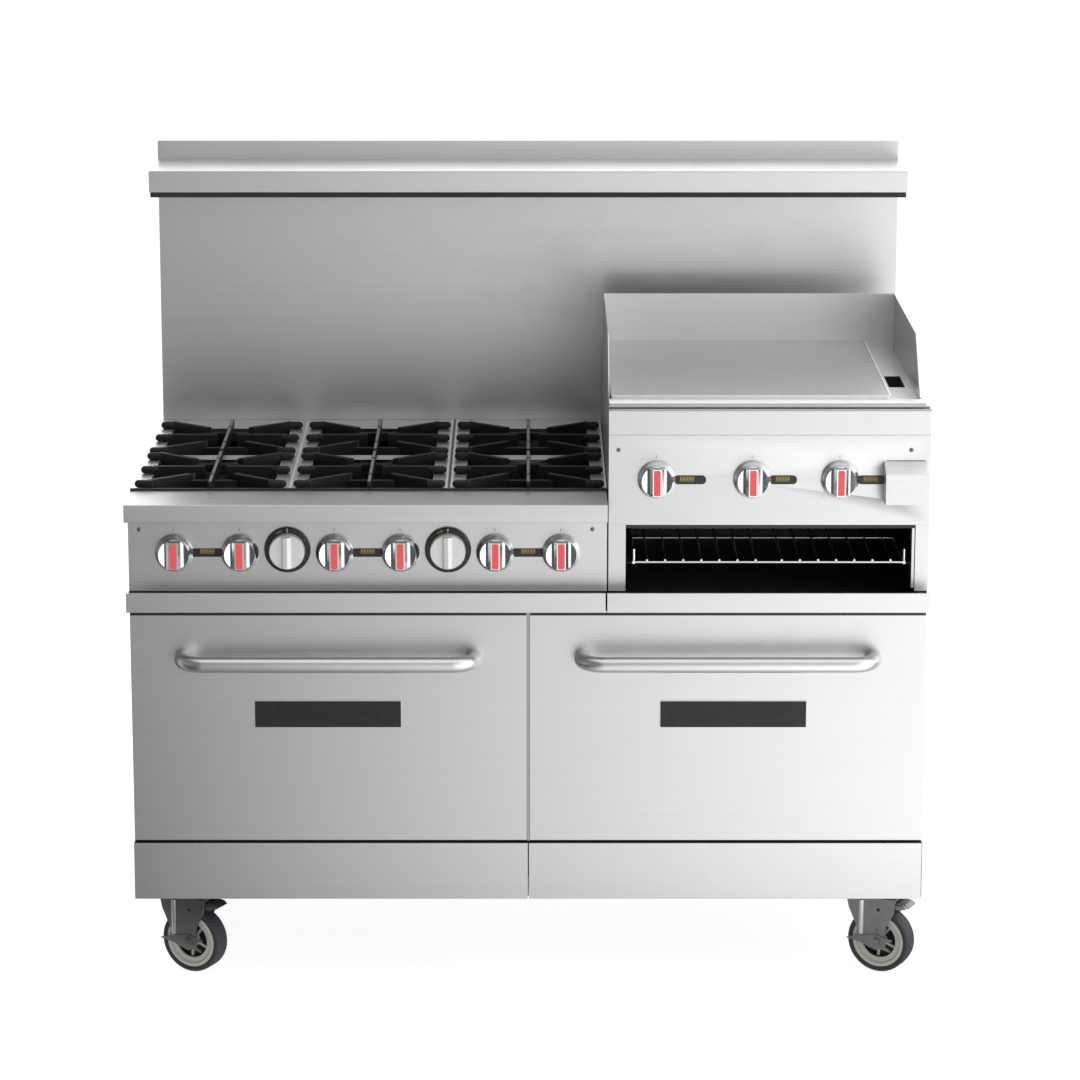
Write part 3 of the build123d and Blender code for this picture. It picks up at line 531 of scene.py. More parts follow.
def addLathe(shape, profile, centre, axis, steps=48, index=0, closed=False):
    # profile holds (radius, height along the axis) pairs from one end to the other
    turn = Vector((0, 0, 1)).rotation_difference(Vector(axis)).to_matrix()
    rings = []
    for radius, height in profile:
        if radius < 1e-6:
            rings.append([shape.verts.new(Vector(centre) + turn @ Vector((0, 0, height)))])
            continue
        ring = []
        for step in range(steps):
            a = 2 * math.pi * step / steps
            ring.append(shape.verts.new(Vector(centre) + turn @ Vector((radius * math.cos(a),
                                                                        radius * math.sin(a),
                                                                        height))))
        rings.append(ring)
    pairs = list(zip(rings, rings[1:]))
    if closed:
        pairs.append((rings[-1], rings[0]))
    for first, second in pairs:
        for step in range(steps):
            following = (step + 1) % steps
            corners = []
            for vert in (first[step % len(first)], first[following % len(first)],
                         second[following % len(second)], second[step % len(second)]):
                if vert not in corners:
                    corners.append(vert)
            if len(corners) > 2:
                face = shape.faces.new(corners)
                face.material_index = index


def finishShape(shape, name):
    bmesh.ops.recalc_face_normals(shape, faces=shape.faces)
    mesh = bpy.data.meshes.new(name)
    shape.to_mesh(mesh)
    shape.free()
    smoothMesh(mesh)
    return mesh


def roundedOutline(width, height, radius, steps=6):
    points = []
    for cx, cz, start in ((width / 2 - radius, height / 2 - radius, 0),
                          (-width / 2 + radius, height / 2 - radius, 90),
                          (-width / 2 + radius, -height / 2 + radius, 180),
                          (width / 2 - radius, -height / 2 + radius, 270)):
        for step in range(steps + 1):
            a = math.radians(start + 90 * step / steps)
            points.append((cx + radius * math.cos(a), cz + radius * math.sin(a)))
    return points


def addTab(shape, centre, width, height, radius, backY, frontY, index=0, steps=6, shrink=1.0):
    # a flat tab with rounded corners that faces the cook
    outline = roundedOutline(width, height, radius, steps)
    cx, cz = centre
    back = [shape.verts.new((cx + x, backY, cz + z)) for x, z in outline]
    front = [shape.verts.new((cx + x * shrink, frontY, cz + z * shrink)) for x, z in outline]
    count = len(outline)
    made = [shape.faces.new(front), shape.faces.new(back[::-1])]
    for i in range(count):
        made.append(shape.faces.new((front[i], back[i], back[(i + 1) % count],
                                     front[(i + 1) % count])))
    for face in made:
        face.material_index = index


# ---- the sheet metal takes rounded folds and a brushed finish
sheetPieces = {
    # node: (finish, slot, rounding)
    "side_panels": (stainless, "stainless", 0.0006),
    "kick_panels": (stainless, "stainless", 0.0007),
    "oven_front_frame": (blackEnamel, "black_enamel", 0.0008),
    "oven_door_left_outer": (stainless, "stainless", 0.0014),
    "oven_door_right_outer": (stainless, "stainless", 0.0014),
    "oven_door_left_inner": (stainless, "stainless", 0.0005),
    "oven_door_right_inner": (stainless, "stainless", 0.0005),
    "crumb_tray_left": (stainless, "stainless", 0.0007),
    "crumb_tray_right": (stainless, "stainless", 0.0007),
    "control_panel": (stainless, "stainless", 0.0006),
    "front_rail": (stainless, "stainless", 0.0006),
    "cooktop_deck": (stainless, "stainless", 0.0006),
    "griddle_cabinet": (stainless, "stainless", 0.0006),
    "griddle_plate": (griddleSteel, "griddle_steel", 0.0010),
    "griddle_splash_guard": (stainless, "stainless", 0.0007),
    "backsplash": (stainless, "stainless", 0.0006),
    "high_shelf": (stainless, "stainless", 0.0006),
    "grease_drawer": (stainless, "stainless", 0.0008),
    "rear_panel": (galvanised, "galvanised", 0.0005),
    "base_frame": (galvanised, "galvanised", 0.0012),
    "oven_rack_left": (wireChrome, "wire_chrome", 0),
    "oven_rack_right": (wireChrome, "wire_chrome", 0),
    "broiler_rack": (wireChrome, "wire_chrome", 0),
}
drain = {"x": (0.697, 0.728), "y": (faceY + 0.188, faceY + 0.305), "z": 1.1425, "margin": 0.003}
pickLook = {
    "shelfZ": 1.4692,
    "shelfY": faceY + 0.572,
    "lipY": faceY - 0.0025,
    "lipZ": 1.1555,
    "guardZ": 1.156,
    "guardX": 0.684,
    "guardY": faceY + 0.040,
    "drawerZ": 1.03,
    "trayZ": 0.764,
}


# the kick's top return flange takes black enamel, painted shade seen through the gap under the
# doors
def kickReturnShade(face):
    return int(face.normal.z > 0.9)


# the shelf's under-return faces take black enamel, painted shade under the shelf lip
def shelfUndersideShade(face):
    middle = face.calc_center_median()
    facing = face.normal.y < -0.9 or face.normal.z < -0.9
    return int(middle.z < pickLook["shelfZ"] and facing and middle.y > pickLook["shelfY"])


# faces inside the grease drain take black enamel, painted shade in the hole
def drainShade(face):
    middle = face.calc_center_median()
    margin = drain["margin"]
    inX = drain["x"][0] - margin < middle.x < drain["x"][1] + margin
    inY = drain["y"][0] - margin < middle.y < drain["y"][1] + margin
    return int(inX and inY and middle.z < drain["z"])


# splash guard faces: black enamel as painted shade in the drain, the light steel as a painted
# highlight on the sloped lip face and along the top edges, the darker steel as painted shade on the
# lip's front face
def guardLightAndShade(face):
    look = pickLook
    middle = face.calc_center_median()
    if drainShade(face):
        return 1
    if middle.z < look["lipZ"] and middle.y < look["lipY"] and face.normal.y < -0.5:
        return 2 if face.normal.z > 0.3 else 3
    nearEdge = middle.x > look["guardX"] or middle.y < look["guardY"]
    if face.normal.z > 0.9 and middle.z < look["guardZ"] and nearEdge:
        return 2
    return 0


# the drawer's top faces take the light steel, a painted highlight
def drawerTopHighlight(face):
    return 2 if face.normal.z > 0.9 and face.calc_center_median().z > pickLook["drawerZ"] else 0


# the tray's inner floor takes black enamel, painted shade inside the tray
def trayInsideShade(face):
    return int(face.normal.z > 0.9 and face.calc_center_median().z < pickLook["trayZ"])


facePicks = {
    "kick_panels": kickReturnShade,
    "high_shelf": shelfUndersideShade,
    "griddle_splash_guard": guardLightAndShade,
    "grease_drawer": drawerTopHighlight,
    "crumb_tray_left": trayInsideShade,
    "crumb_tray_right": trayInsideShade,
}
# the face picks put black enamel and a darker steel where shade is painted, and a light steel where
# highlights are painted
for node, (finish, slotName, width) in sheetPieces.items():
    refine(node, finish, width, facePick=facePicks.get(node),
           extra=(blackEnamel, highlightSteel, shadedSteel))
for side in ("left", "right"):
    refine(f"oven_door_{side}_handle", tubeSteel, 0)
insideFinishes = {
    "oven_liners": blackEnamel,
    "oven_hearth_plates": blackEnamel,
    "oven_burners": burnerIron,
    "broiler_liner": blackEnamel,
    "griddle_burners": burnerIron,
    "gas_manifold": blackPipe,
    "gas_valves": brass,
}
for node, finish in insideFinishes.items():
    paint(node, finish)
print("sheet metal done")


# ---- grates: the deep ribs come from the frame, the rounded feet are made here
columnXs = (-0.6096, -0.3048, 0.0)
rowYs = (faceY + 0.228, faceY + 0.532)
grateLook = {
    "rounding": 0.0014,
    "topZ": 0.981,
    "footCut": 0.121,
    "footStart": 0.112,
    "footReach": 0.1458,
    "footRadius": 0.0074,
    "footZ": 0.9735,
    "footRows": (-0.127, 0.0, 0.127),
    "glintHalf": 0.0024,  # the painted highlight along the middle rib's top, broken where bars cross it
    "glintRuns": ((-0.138, -0.081), (-0.067, 0.067), (0.081, 0.138)),
}


def makeGrate(node, cx, cy):
    look = grateLook
    shape = cleanCopy(node)
    for side in (-1, 1):
        everything = shape.verts[:] + shape.edges[:] + shape.faces[:]
        bmesh.ops.bisect_plane(shape, geom=everything, plane_co=(cx + side * look["footCut"], 0, 0),
                               plane_no=(side, 0, 0), clear_outer=True)
        bmesh.ops.holes_fill(shape, edges=shape.edges[:])
    straight = look["footReach"] - look["footStart"] - look["footRadius"]
    nose = [(look["footRadius"] * math.cos(math.radians(a)),
             straight + look["footRadius"] * math.sin(math.radians(a)))
            for a in range(0, 90, 15)]
    profile = [(0.0, 0.0), (look["footRadius"], 0.0), *nose, (0.0, straight + look["footRadius"])]
    for face in shape.faces:
        face.material_index = 0
    # light strips along the middle rib: painted highlight
    for y0, y1 in look["glintRuns"]:
        addBox(shape, (cx - look["glintHalf"], cx + look["glintHalf"]), (cy + y0, cy + y1),
               (look["topZ"] - 0.0008, look["topZ"] + 0.0003), 1)
    for side in (-1, 1):
        for dy in look["footRows"]:
            addLathe(shape, profile, (cx + side * look["footStart"], cy + dy, look["footZ"]),
                     (side, 0, 0), 24)
    mesh = finishShape(shape, node + "_look")
    piece = asPiece(node + "_look", mesh, [castIron, ribHighlight], bodyOf[node], (node,))
    roundEdges(piece, look["rounding"], 2)


for columnX, column in zip(columnXs, ("left", "centre", "right")):
    for rowY, row in zip(rowYs, ("front", "rear")):
        makeGrate(f"grate_{row}_{column}", columnX, rowY)
print("grates done")


# ---- burner heads with their flame ports
burnerLook = {
    "profile": [(0.0, -0.042), (0.024, -0.042), (0.030, -0.034), (0.0365, -0.025), (0.037, -0.019),
                (0.0362, -0.0145), (0.031, -0.0125), (0.026, -0.0105), (0.0215, -0.006),
                (0.0195, -0.002),
                (0.0182, 0.0), (0.0165, 0.0004), (0.015, -0.0012), (0.008, -0.0014),
                (0.0, -0.0006)],
    "headZ": 0.944,
    "ports": 28,
    "port": ((0.0352, 0.0369), (-0.0012, 0.0012), (-0.0032, 0.0032)),
    "portDrop": 0.0205,
}


def makeBurners():
    shape = cleanCopy("open_burners")
    bottom = burnerLook["headZ"] - 0.0425
    feed = [v for v in shape.verts if v.co.z > bottom]
    bmesh.ops.delete(shape, geom=feed, context="VERTS")
    for x in columnXs:
        for y in rowYs:
            addLathe(shape, burnerLook["profile"], (x, y, burnerLook["headZ"]), (0, 0, 1), 56)
            # the flame ports are black bars on the head's side, painted shade in the holes
            for port in range(burnerLook["ports"]):
                a = 2 * math.pi * port / burnerLook["ports"]
                spin = Matrix.Translation((x, y,
                                           burnerLook["headZ"] -
                                           burnerLook["portDrop"])) @ Matrix.Rotation(a, 4, "Z")
                bar = addBox(shape, *burnerLook["port"], 1)
                bmesh.ops.transform(shape, matrix=spin, verts=bar)
    mesh = finishShape(shape, "open_burners_look")
    asPiece("open_burners_look", mesh, [burnerIron, castIron], "range_body",
            ("open_burners",))


makeBurners()
print("burners done")


# ---- knobs
controlPlaces = {
    "knobGap": 0.0625,  # half the distance between the two knobs of a pair
    "burnerZ": 0.862,
    "griddleXs": (0.243, 0.424, 0.590),
    "griddleZ": 1.004,
    "dialXs": (("left", -0.4572), ("right", -0.1524)),
    "dialZ": 0.868,
}
knobLook = {
    "core": [(0.0, 0.010), (0.0288, 0.010), (0.0288, 0.0166), (0.0, 0.0172)],
    "stem": [(0.0, -0.02), (0.004, -0.02), (0.004, 0.004), (0.0, 0.004)],
    "skirt": [(0.0, 0.002), (0.0345, 0.002), (0.0362, 0.0038), (0.0360, 0.0058), (0.0345, 0.0088),
              (0.0318, 0.0118), (0.0300, 0.0148), (0.0292, 0.0180)],
    "radius": 0.029,
    "shoulder": 0.0196,  # where the scooped cheeks meet the grip
    "scoop": (0.34, 0.24),  # steepness of a cheek beside the grip and at its rim
    "gripHalf": 0.0132,
    "grip": [(-0.0142, 0.0120), (-0.0136, 0.0292), (-0.0086, 0.0350), (0.0086, 0.0350),
             (0.0136, 0.0292),
             (0.0142, 0.0120)],
    "gripReach": 0.0270,
    "gripOut": 0.0350,
    "insertWidth": 0.0128,
    "insertHeight": 0.0485,
}


def addCheeks(shape, cx, cz):
    # the two scooped cheeks, one each side of the grip
    look = knobLook
    inner = look["gripHalf"] * 0.85
    run = look["radius"] - inner
    steep, flat = look["scoop"]
    steps = 14
    for side in (-1, 1):
        before = None
        for i in range(steps + 1):
            t = 0.992 * math.sin(i / steps * math.pi / 2)
            x = inner + run * t
            front = look["shoulder"] + run * (steep * t - (steep - flat) / 2 * t * t)
            z = math.sqrt(look["radius"] ** 2 - x * x)
            ring = [shape.verts.new((cx + side * x, faceY - out, cz + high))
                    for out, high in ((front, z), (front, -z), (0.010, -z), (0.010, z))]
            if before:
                for k in range(4):
                    shape.faces.new((before[k], ring[k], ring[(k + 1) % 4], before[(k + 1) % 4]))
            else:
                shape.faces.new(ring)
            before = ring
        shape.faces.new(before[::-1])


def addRidge(shape, cx, cz, section, reach, draft, index=0):
    # a grip bar of the given section, standing up and down, drawn in a little at its outer ends
    loops = []
    for side in (-1, 1):
        loops.append([shape.verts.new((cx + x, faceY - out,
                                       cz + side * (reach - draft * (out > 0.025))))
                      for x, out in section])
    low, high = loops
    made = [shape.faces.new(low), shape.faces.new(high[::-1])]
    for i in range(len(section)):
        j = (i + 1) % len(section)
        made.append(shape.faces.new((low[i], high[i], high[j], low[j])))
    for face in made:
        face.material_index = index


def makeBurnerKnob(node, cx, cz):
    look = knobLook
    shape = bmesh.new()
    centre = (cx, faceY, cz)
    addLathe(shape, look["skirt"], centre, (0, -1, 0), 64)
    addLathe(shape, look["core"], centre, (0, -1, 0), 64)
    addCheeks(shape, cx, cz)
    addRidge(shape, cx, cz, look["grip"], look["gripReach"], 0.0012)
    addTab(shape, (cx, cz), look["insertWidth"], look["insertHeight"], 0.0022,
           faceY - look["gripOut"] + 0.001,
           faceY - look["gripOut"] - 0.0009, 1)
    addLathe(shape, knobLook["stem"], centre, (0, -1, 0), 20)
    mesh = finishShape(shape, node + "_look")
    piece = asPiece(node + "_look", mesh, [chrome, redInsert], bodyOf[node], (node,))
    roundEdges(piece, 0.0008, 3)


knobXs = []
for columnX in columnXs:
    knobXs += [columnX - controlPlaces["knobGap"], columnX + controlPlaces["knobGap"]]
for number, x in enumerate(knobXs, start=1):
    makeBurnerKnob(f"burner_knob_{number}", x, controlPlaces["burnerZ"])
for number, x in enumerate(controlPlaces["griddleXs"], start=1):
    makeBurnerKnob(f"griddle_knob_{number}", x, controlPlaces["griddleZ"])

dialLook = {
    "bezel": [(0.0, 0.002), (0.0425, 0.002), (0.044, 0.0035), (0.0436, 0.0055), (0.0415, 0.007),
              (0.0, 0.007)],
    "body": [(0.0, 0.006), (0.0338, 0.006), (0.0340, 0.010), (0.0336, 0.0230), (0.0325, 0.0250),
             (0.0, 0.0250)],
    "ridge": [(-0.0098, 0.0180), (-0.0094, 0.0290), (-0.0064, 0.0330), (0.0010, 0.0338),
              (0.0084, 0.0300),
              (0.0098, 0.0180)],
    "ridgeReach": 0.0316,
    "marks": 15,
    "sweep": 300,  # degrees that the scale covers
    "markYs": (-0.0074, -0.0069),
    "offMarks": (-30, -26, -21, -17),
}


def makeThermostat(node, cx, cz):
    look = dialLook
    shape = bmesh.new()
    centre = (cx, faceY, cz)
    addLathe(shape, look["bezel"], centre, (0, -1, 0), 72, 1)
    addLathe(shape, look["body"], centre, (0, -1, 0), 72, 0)
    addRidge(shape, cx, cz, look["ridge"], look["ridgeReach"], 0.0018)
    addLathe(shape, knobLook["stem"], centre, (0, -1, 0), 20)
    # the scale: a white index at the top, an amber off mark to its left and grey steps round
    # the rest
    for mark in range(look["marks"]):
        degrees = mark * look["sweep"] / look["marks"]
        spin = Matrix.Translation(centre) @ Matrix.Rotation(math.radians(degrees), 4, "Y")
        if mark == 0:
            bar = addBox(shape, (-0.0008, 0.0008), look["markYs"], (0.0345, 0.0425), 2)
        else:
            size = 0.0395 if mark % 3 else 0.0410
            bar = addBox(shape, (-0.0004, 0.0004), look["markYs"], (0.0368, size), 4)
        bmesh.ops.transform(shape, matrix=spin, verts=bar)
    for degrees in look["offMarks"]:
        spin = Matrix.Translation(centre) @ Matrix.Rotation(math.radians(degrees), 4, "Y")
        bar = addBox(shape, (-0.0009, 0.0009), look["markYs"], (0.0362, 0.0412), 3)
        bmesh.ops.transform(shape, matrix=spin, verts=bar)
    mesh = finishShape(shape, node + "_look")
    piece = asPiece(node + "_look", mesh, [dialSilver, blackPlastic, whiteInk, amberInk, greyInk],
                    bodyOf[node], (node,))
    roundEdges(piece, 0.0008, 3)


for side, x in controlPlaces["dialXs"]:
    makeThermostat(f"thermostat_knob_{side}", x, controlPlaces["dialZ"])
print("knobs done")


# ---- labels, index ticks, screws and blank door plates on the fixed body
labelLook = {"height": 0.0166, "reach": 0.033, "thickness": 0.0006, "tickHeight": 0.006,
             "tickWidth": 0.0011,
             "griddleLengths": (0.061, 0.052, 0.053)}


def addPatch(shape, x, z, front):
    # an amber block of plain bars, with no lettering
    for dz in (-0.0038, 0.0038):
        addTab(shape, (x, z + dz), 0.0275, 0.0014, 0.0005, front + 0.0001, front - 0.0002, 1, 3)
    for i in range(5):
        addTab(shape, (x - 0.0110 + i * 0.0055, z), 0.0042, 0.0044, 0.0008, front + 0.0001,
               front - 0.0002, 1, 3)


def makeLabels():
    shape = bmesh.new()
    surface = faceY - 0.0001
    front = surface - labelLook["thickness"]
    for columnX in columnXs:
        width = 2 * (controlPlaces["knobGap"] - labelLook["reach"] + 0.003)
        addTab(shape, (columnX, controlPlaces["burnerZ"]), width, labelLook["height"], 0.0012,
               surface, front, 0)
        addPatch(shape, columnX, 0.8648, front)
        for side in (-1, 1):
            x = columnX + side * controlPlaces["knobGap"]
            addTab(shape, (x - 0.001, 0.9065), labelLook["tickWidth"], labelLook["tickHeight"],
                   0.0003, surface,
                   surface - 0.0003, 2, 2)
    for x, length in zip(controlPlaces["griddleXs"], labelLook["griddleLengths"]):
        addTab(shape, (x + 0.0325 + length / 2, 1.0035), length, 0.0172, 0.0078, surface, front, 0)
        addPatch(shape, x + 0.0575, 1.0052, front)
        addTab(shape, (x - 0.001, 1.0485), labelLook["tickWidth"], labelLook["tickHeight"], 0.0003,
               surface,
               surface - 0.0003, 2, 2)
    mesh = finishShape(shape, "control_labels")
    asPiece("control_labels", mesh, [blackPlastic, amberInk, greyInk], "range_body")


makeLabels()


def addScrew(shape, x, y, z, outward=(0, -1, 0), radius=0.0042):
    addLathe(shape, [(radius, 0.0), (radius, 0.0008), (radius * 0.86, 0.0019),
                     (radius * 0.45, 0.0025),
                     (0.0, 0.0026)], (x, y, z), outward, 24, 0)
    turn = Vector((0, 0, 1)).rotation_difference(Vector(outward)).to_matrix().to_4x4()
    # the cross recess is black cast iron, painted shade in the slots
    for long, short in ((0.55, 0.12), (0.12, 0.55)):
        bar = addBox(shape, (-radius * long, radius * long), (-radius * short, radius * short),
                     (0.0018, 0.0027), 1)
        bmesh.ops.transform(shape, matrix=Matrix.Translation((x, y, z)) @ turn, verts=bar)


def makeScrews():
    shape = bmesh.new()
    for x, z in ((-0.738, 0.907), (0.122, 0.907)):
        addScrew(shape, x, faceY, z)
    for x, z in ((0.171, 1.061), (0.724, 1.061)):
        addScrew(shape, x, faceY, z)
    rearY = backY - 0.032
    for x in [-0.74 + i * 0.148 for i in range(11)]:
        for z in (0.235, 0.915):
            addScrew(shape, x, rearY, z, (0, 1, 0))
    mesh = finishShape(shape, "panel_screws")
    asPiece("panel_screws", mesh, [zincPlate, castIron], "range_body")


makeScrews()

plateLook = {"width": 0.283, "height": 0.055, "centreZ": 0.5435, "border": 0.0016,
             "thickness": 0.0012}


def makeDoorPlate(side, x):
    look = plateLook
    shape = bmesh.new()
    addTab(shape, (x, look["centreZ"]), look["width"], look["height"], 0.002, faceY - 0.0001,
           faceY - look["thickness"], 0)
    addTab(shape, (x, look["centreZ"]), look["width"] - 2 * look["border"],
           look["height"] - 2 * look["border"],
           0.0015, faceY - look["thickness"] + 0.0002, faceY - look["thickness"] - 0.0003, 1)
    mesh = finishShape(shape, f"door_plate_{side}")
    piece = asPiece(f"door_plate_{side}", mesh, [stainless, plateBlack], f"oven_door_{side}")
    roundEdges(piece, 0.0003, 2)


makeDoorPlate("left", -0.384)
makeDoorPlate("right", 0.393)
print("labels, screws and plates done")


# ---- casters, built about each kingpin with the wheel trailing along local +X
casterLook = {
    "turn": -27.0,
    "race": [(0.0062, 0.1530), (0.030, 0.1530), (0.0345, 0.1545), (0.0362, 0.158), (0.0362, 0.162),
             (0.034, 0.1655),
             (0.030, 0.1666), (0.0062, 0.1666)],
    "rib": [(0.0, 0.0), (0.0048, 0.0), (0.0054, 0.004), (0.0054, 0.070), (0.002, 0.0728),
            (0.0, 0.0730)],
    "trail": 0.022,
    "axleZ": 0.0635,
    "legY": (0.0222, 0.0262),
    "leg": [(-0.042, 0.1488), (-0.037, 0.126), (-0.013, 0.076), (0.003, 0.052), (0.022, 0.046),
            (0.036, 0.053),
            (0.039, 0.076), (0.043, 0.101), (0.056, 0.122), (0.060, 0.1488)],
    "cam": [(-0.040, 0.0655), (-0.012, 0.0725), (0.004, 0.0755), (0.022, 0.0790), (0.038, 0.0745),
            (0.055, 0.0720),
            (0.0555, 0.0690), (0.043, 0.0650), (0.042, 0.0560), (0.053, 0.0485), (0.052, 0.0460),
            (0.034, 0.0500),
            (0.022, 0.0485), (0.008, 0.0520), (-0.012, 0.0590), (-0.039, 0.0635)],
}
casterPlaces = {
    "front_left": (-0.674, faceY + 0.092),
    "front_right": (0.674, faceY + 0.092),
    "rear_left": (-0.674, backY - 0.095),
    "rear_right": (0.674, backY - 0.095),
}


def addPlate(shape, outline, y0, y1, index=0):
    # a flat plate standing on edge, its outline given in local X and Z
    near = [shape.verts.new((x, y0, z)) for x, z in outline]
    far = [shape.verts.new((x, y1, z)) for x, z in outline]
    count = len(outline)
    made = [shape.faces.new(near), shape.faces.new(far[::-1])]
    for i in range(count):
        made.append(shape.faces.new((near[i], far[i], far[(i + 1) % count], near[(i + 1) % count])))
    for face in made:
        face.material_index = index


def placeCaster(shape, corner):
    x, y = casterPlaces[corner]
    turn = Matrix.Rotation(math.radians(casterLook["turn"]), 4, "Z")
    bmesh.ops.transform(shape, matrix=Matrix.Translation((x, y, 0)) @ turn, verts=shape.verts)


def makeFork(corner):
    look = casterLook
    trail, axleZ = look["trail"], look["axleZ"]
    shape = bmesh.new()
    addLathe(shape, look["race"], (0, 0, 0), (0, 0, 1), 48, closed=True)
    addBox(shape, (-0.042, 0.060), (-look["legY"][1], look["legY"][1]), (0.1489, 0.1529))
    for side in (-1, 1):
        inner, outer = side * look["legY"][0], side * look["legY"][1]
        addPlate(shape, look["leg"], inner, outer)
        # the raised rib takes the brighter tube steel, a painted highlight along the bend
        addLathe(shape, look["rib"], (-0.0105, outer - side * 0.0020, 0.0755), (0, 0, 1), 24, 2)
        # a black disc stands for a hole, painted shade
        addLathe(shape, [(0.0, 0.0), (0.0034, 0.0), (0.0034, 0.0003), (0.0, 0.0003)],
                 (0.025, outer, 0.1295), (0, side, 0), 20, 1)
        addLathe(shape, [(0.0032, 0.0), (0.0030, 0.0012), (0.0016, 0.0019), (0.0, 0.002)],
                 (0.024, outer, 0.0865),
                 (0, side, 0), 20)
        addPlate(shape, look["cam"], outer + side * 0.0002, outer + side * 0.0022)
        washer = [(0.0, 0.0), (0.0112, 0.0), (0.0112, 0.0015), (0.0, 0.0015)]
        addLathe(shape, washer, (trail, outer + side * 0.0022, axleZ), (0, side, 0), 32)
        addLathe(shape, [(0.0, 0.0), (0.0085, 0.0), (0.0085, 0.0036), (0.0, 0.0042)],
                 (trail, outer + side * 0.0036, axleZ), (0, side, 0), 6)
    addLathe(shape, [(0.0, -0.022), (0.0059, -0.022), (0.0059, 0.022), (0.0, 0.022)],
             (trail, 0, axleZ), (0, 1, 0), 24)
    placeCaster(shape, corner)
    mesh = finishShape(shape, f"caster_fork_{corner}_look")
    node = f"caster_fork_{corner}"
    piece = asPiece(node + "_look", mesh, [zincPlate, castIron, tubeSteel], bodyOf[node],
                    (node,))
    roundEdges(piece, 0.0009, 2)


wheelLook = {
    # (radius, distance from the wheel's middle) on one side; the other side mirrors it
    "tyre": [(0.0528, 0.0), (0.0528, 0.0165), (0.0545, 0.0188), (0.0585, 0.0198), (0.0612, 0.0190),
             (0.0630, 0.0168),
             (0.0634, 0.0140), (0.0634, 0.0095), (0.0629, 0.0088), (0.0629, 0.0078),
             (0.0634, 0.0070), (0.0635, 0.0)],
    "hub": [(0.0063, 0.0), (0.0063, 0.0196), (0.0135, 0.0196), (0.0140, 0.0180), (0.0145, 0.0045),
            (0.0320, 0.0040),
            (0.0345, 0.0120), (0.0355, 0.0142), (0.0440, 0.0148), (0.0462, 0.0172),
            (0.0470, 0.0184),
            (0.0520, 0.0186), (0.0528, 0.0178), (0.0528, 0.0)],
    "spokes": 5,
    "spoke": ((0.0125, 0.0345), (-0.0085, 0.0085), (-0.0022, 0.0022)),
    "lugs": 10,
    "lug": ((0.0625, 0.06345), (-0.0060, 0.0060), (-0.0090, 0.0090)),
    "wellRadii": (0.0142, 0.0338),
    "wellHalf": 0.0085,
}


def makeWheel(corner):
    trail, axleZ = casterLook["trail"], casterLook["axleZ"]
    shape = bmesh.new()
    centre = (trail, 0, axleZ)
    for part, index in (("tyre", 0), ("hub", 1)):
        half = wheelLook[part]
        profile = half + [(r, -h) for r, h in reversed(half) if h > 0]
        addLathe(shape, profile, centre, (0, 1, 0), 72, index, closed=True)
    for face in shape.faces:  # the deep well between boss and rim takes black cast iron, painted shade
        if face.material_index == 1:
            away = face.calc_center_median() - Vector(centre)
            inner, outer = wheelLook["wellRadii"]
            if inner < math.hypot(away.x, away.z) < outer and abs(away.y) < wheelLook["wellHalf"]:
                face.material_index = 2
    for spoke in range(wheelLook["spokes"]):
        spin = Matrix.Translation(centre) @ Matrix.Rotation(2 * math.pi * (spoke + 0.3) /
                                                            wheelLook["spokes"], 4, "Y")
        bar = addBox(shape, *wheelLook["spoke"], 1)
        bmesh.ops.transform(shape, matrix=spin, verts=bar)
    for lug in range(wheelLook["lugs"]):  # moulded tread marks
        spin = Matrix.Translation(centre) @ Matrix.Rotation(2 * math.pi * lug / wheelLook["lugs"],
                                                            4, "Y")
        bar = addBox(shape, *wheelLook["lug"], 0)
        bmesh.ops.transform(shape, matrix=spin, verts=bar)
    placeCaster(shape, corner)
    mesh = finishShape(shape, f"caster_wheel_{corner}_look")
    node = f"caster_wheel_{corner}"
    asPiece(node + "_look", mesh, [tyreRubber, hubPlastic, castIron], bodyOf[node], (node,))


brakeLook = {
    "pivot": (0.040, 0, 0.138),
    "half": 0.0195,
    "cheekOut": 0.0215,
    "blade": [(0.0405, 0.1445), (0.060, 0.1465), (0.078, 0.1450), (0.0850, 0.1395),
              (0.0852, 0.1375),
              (0.0830, 0.1372), (0.077, 0.1420), (0.060, 0.1435), (0.0405, 0.1415)],
    "cheek": [(0.044, 0.1430), (0.077, 0.1420), (0.0820, 0.1372), (0.068, 0.1330), (0.052, 0.1330)],
}


def makeBrake(corner):
    look = brakeLook
    half = look["half"]
    shape = bmesh.new()
    addLathe(shape, [(0.0032, -half), (0.006, -half), (0.006, half), (0.0032, half)], look["pivot"],
             (0, 1, 0), 28,
             closed=True)
    addPlate(shape, look["blade"], -half, half)
    for side in (-1, 1):
        addPlate(shape, look["cheek"], side * half, side * look["cheekOut"])
    placeCaster(shape, corner)
    node = f"caster_brake_{corner}"
    mesh = finishShape(shape, node + "_look")
    piece = asPiece(node + "_look", mesh, [zincPlate], bodyOf[node], (node,))
    roundEdges(piece, 0.0007, 2)


for corner in casterPlaces:
    makeFork(corner)
    makeWheel(corner)
for corner in ("front_left", "front_right"):
    makeBrake(corner)
print("casters done")
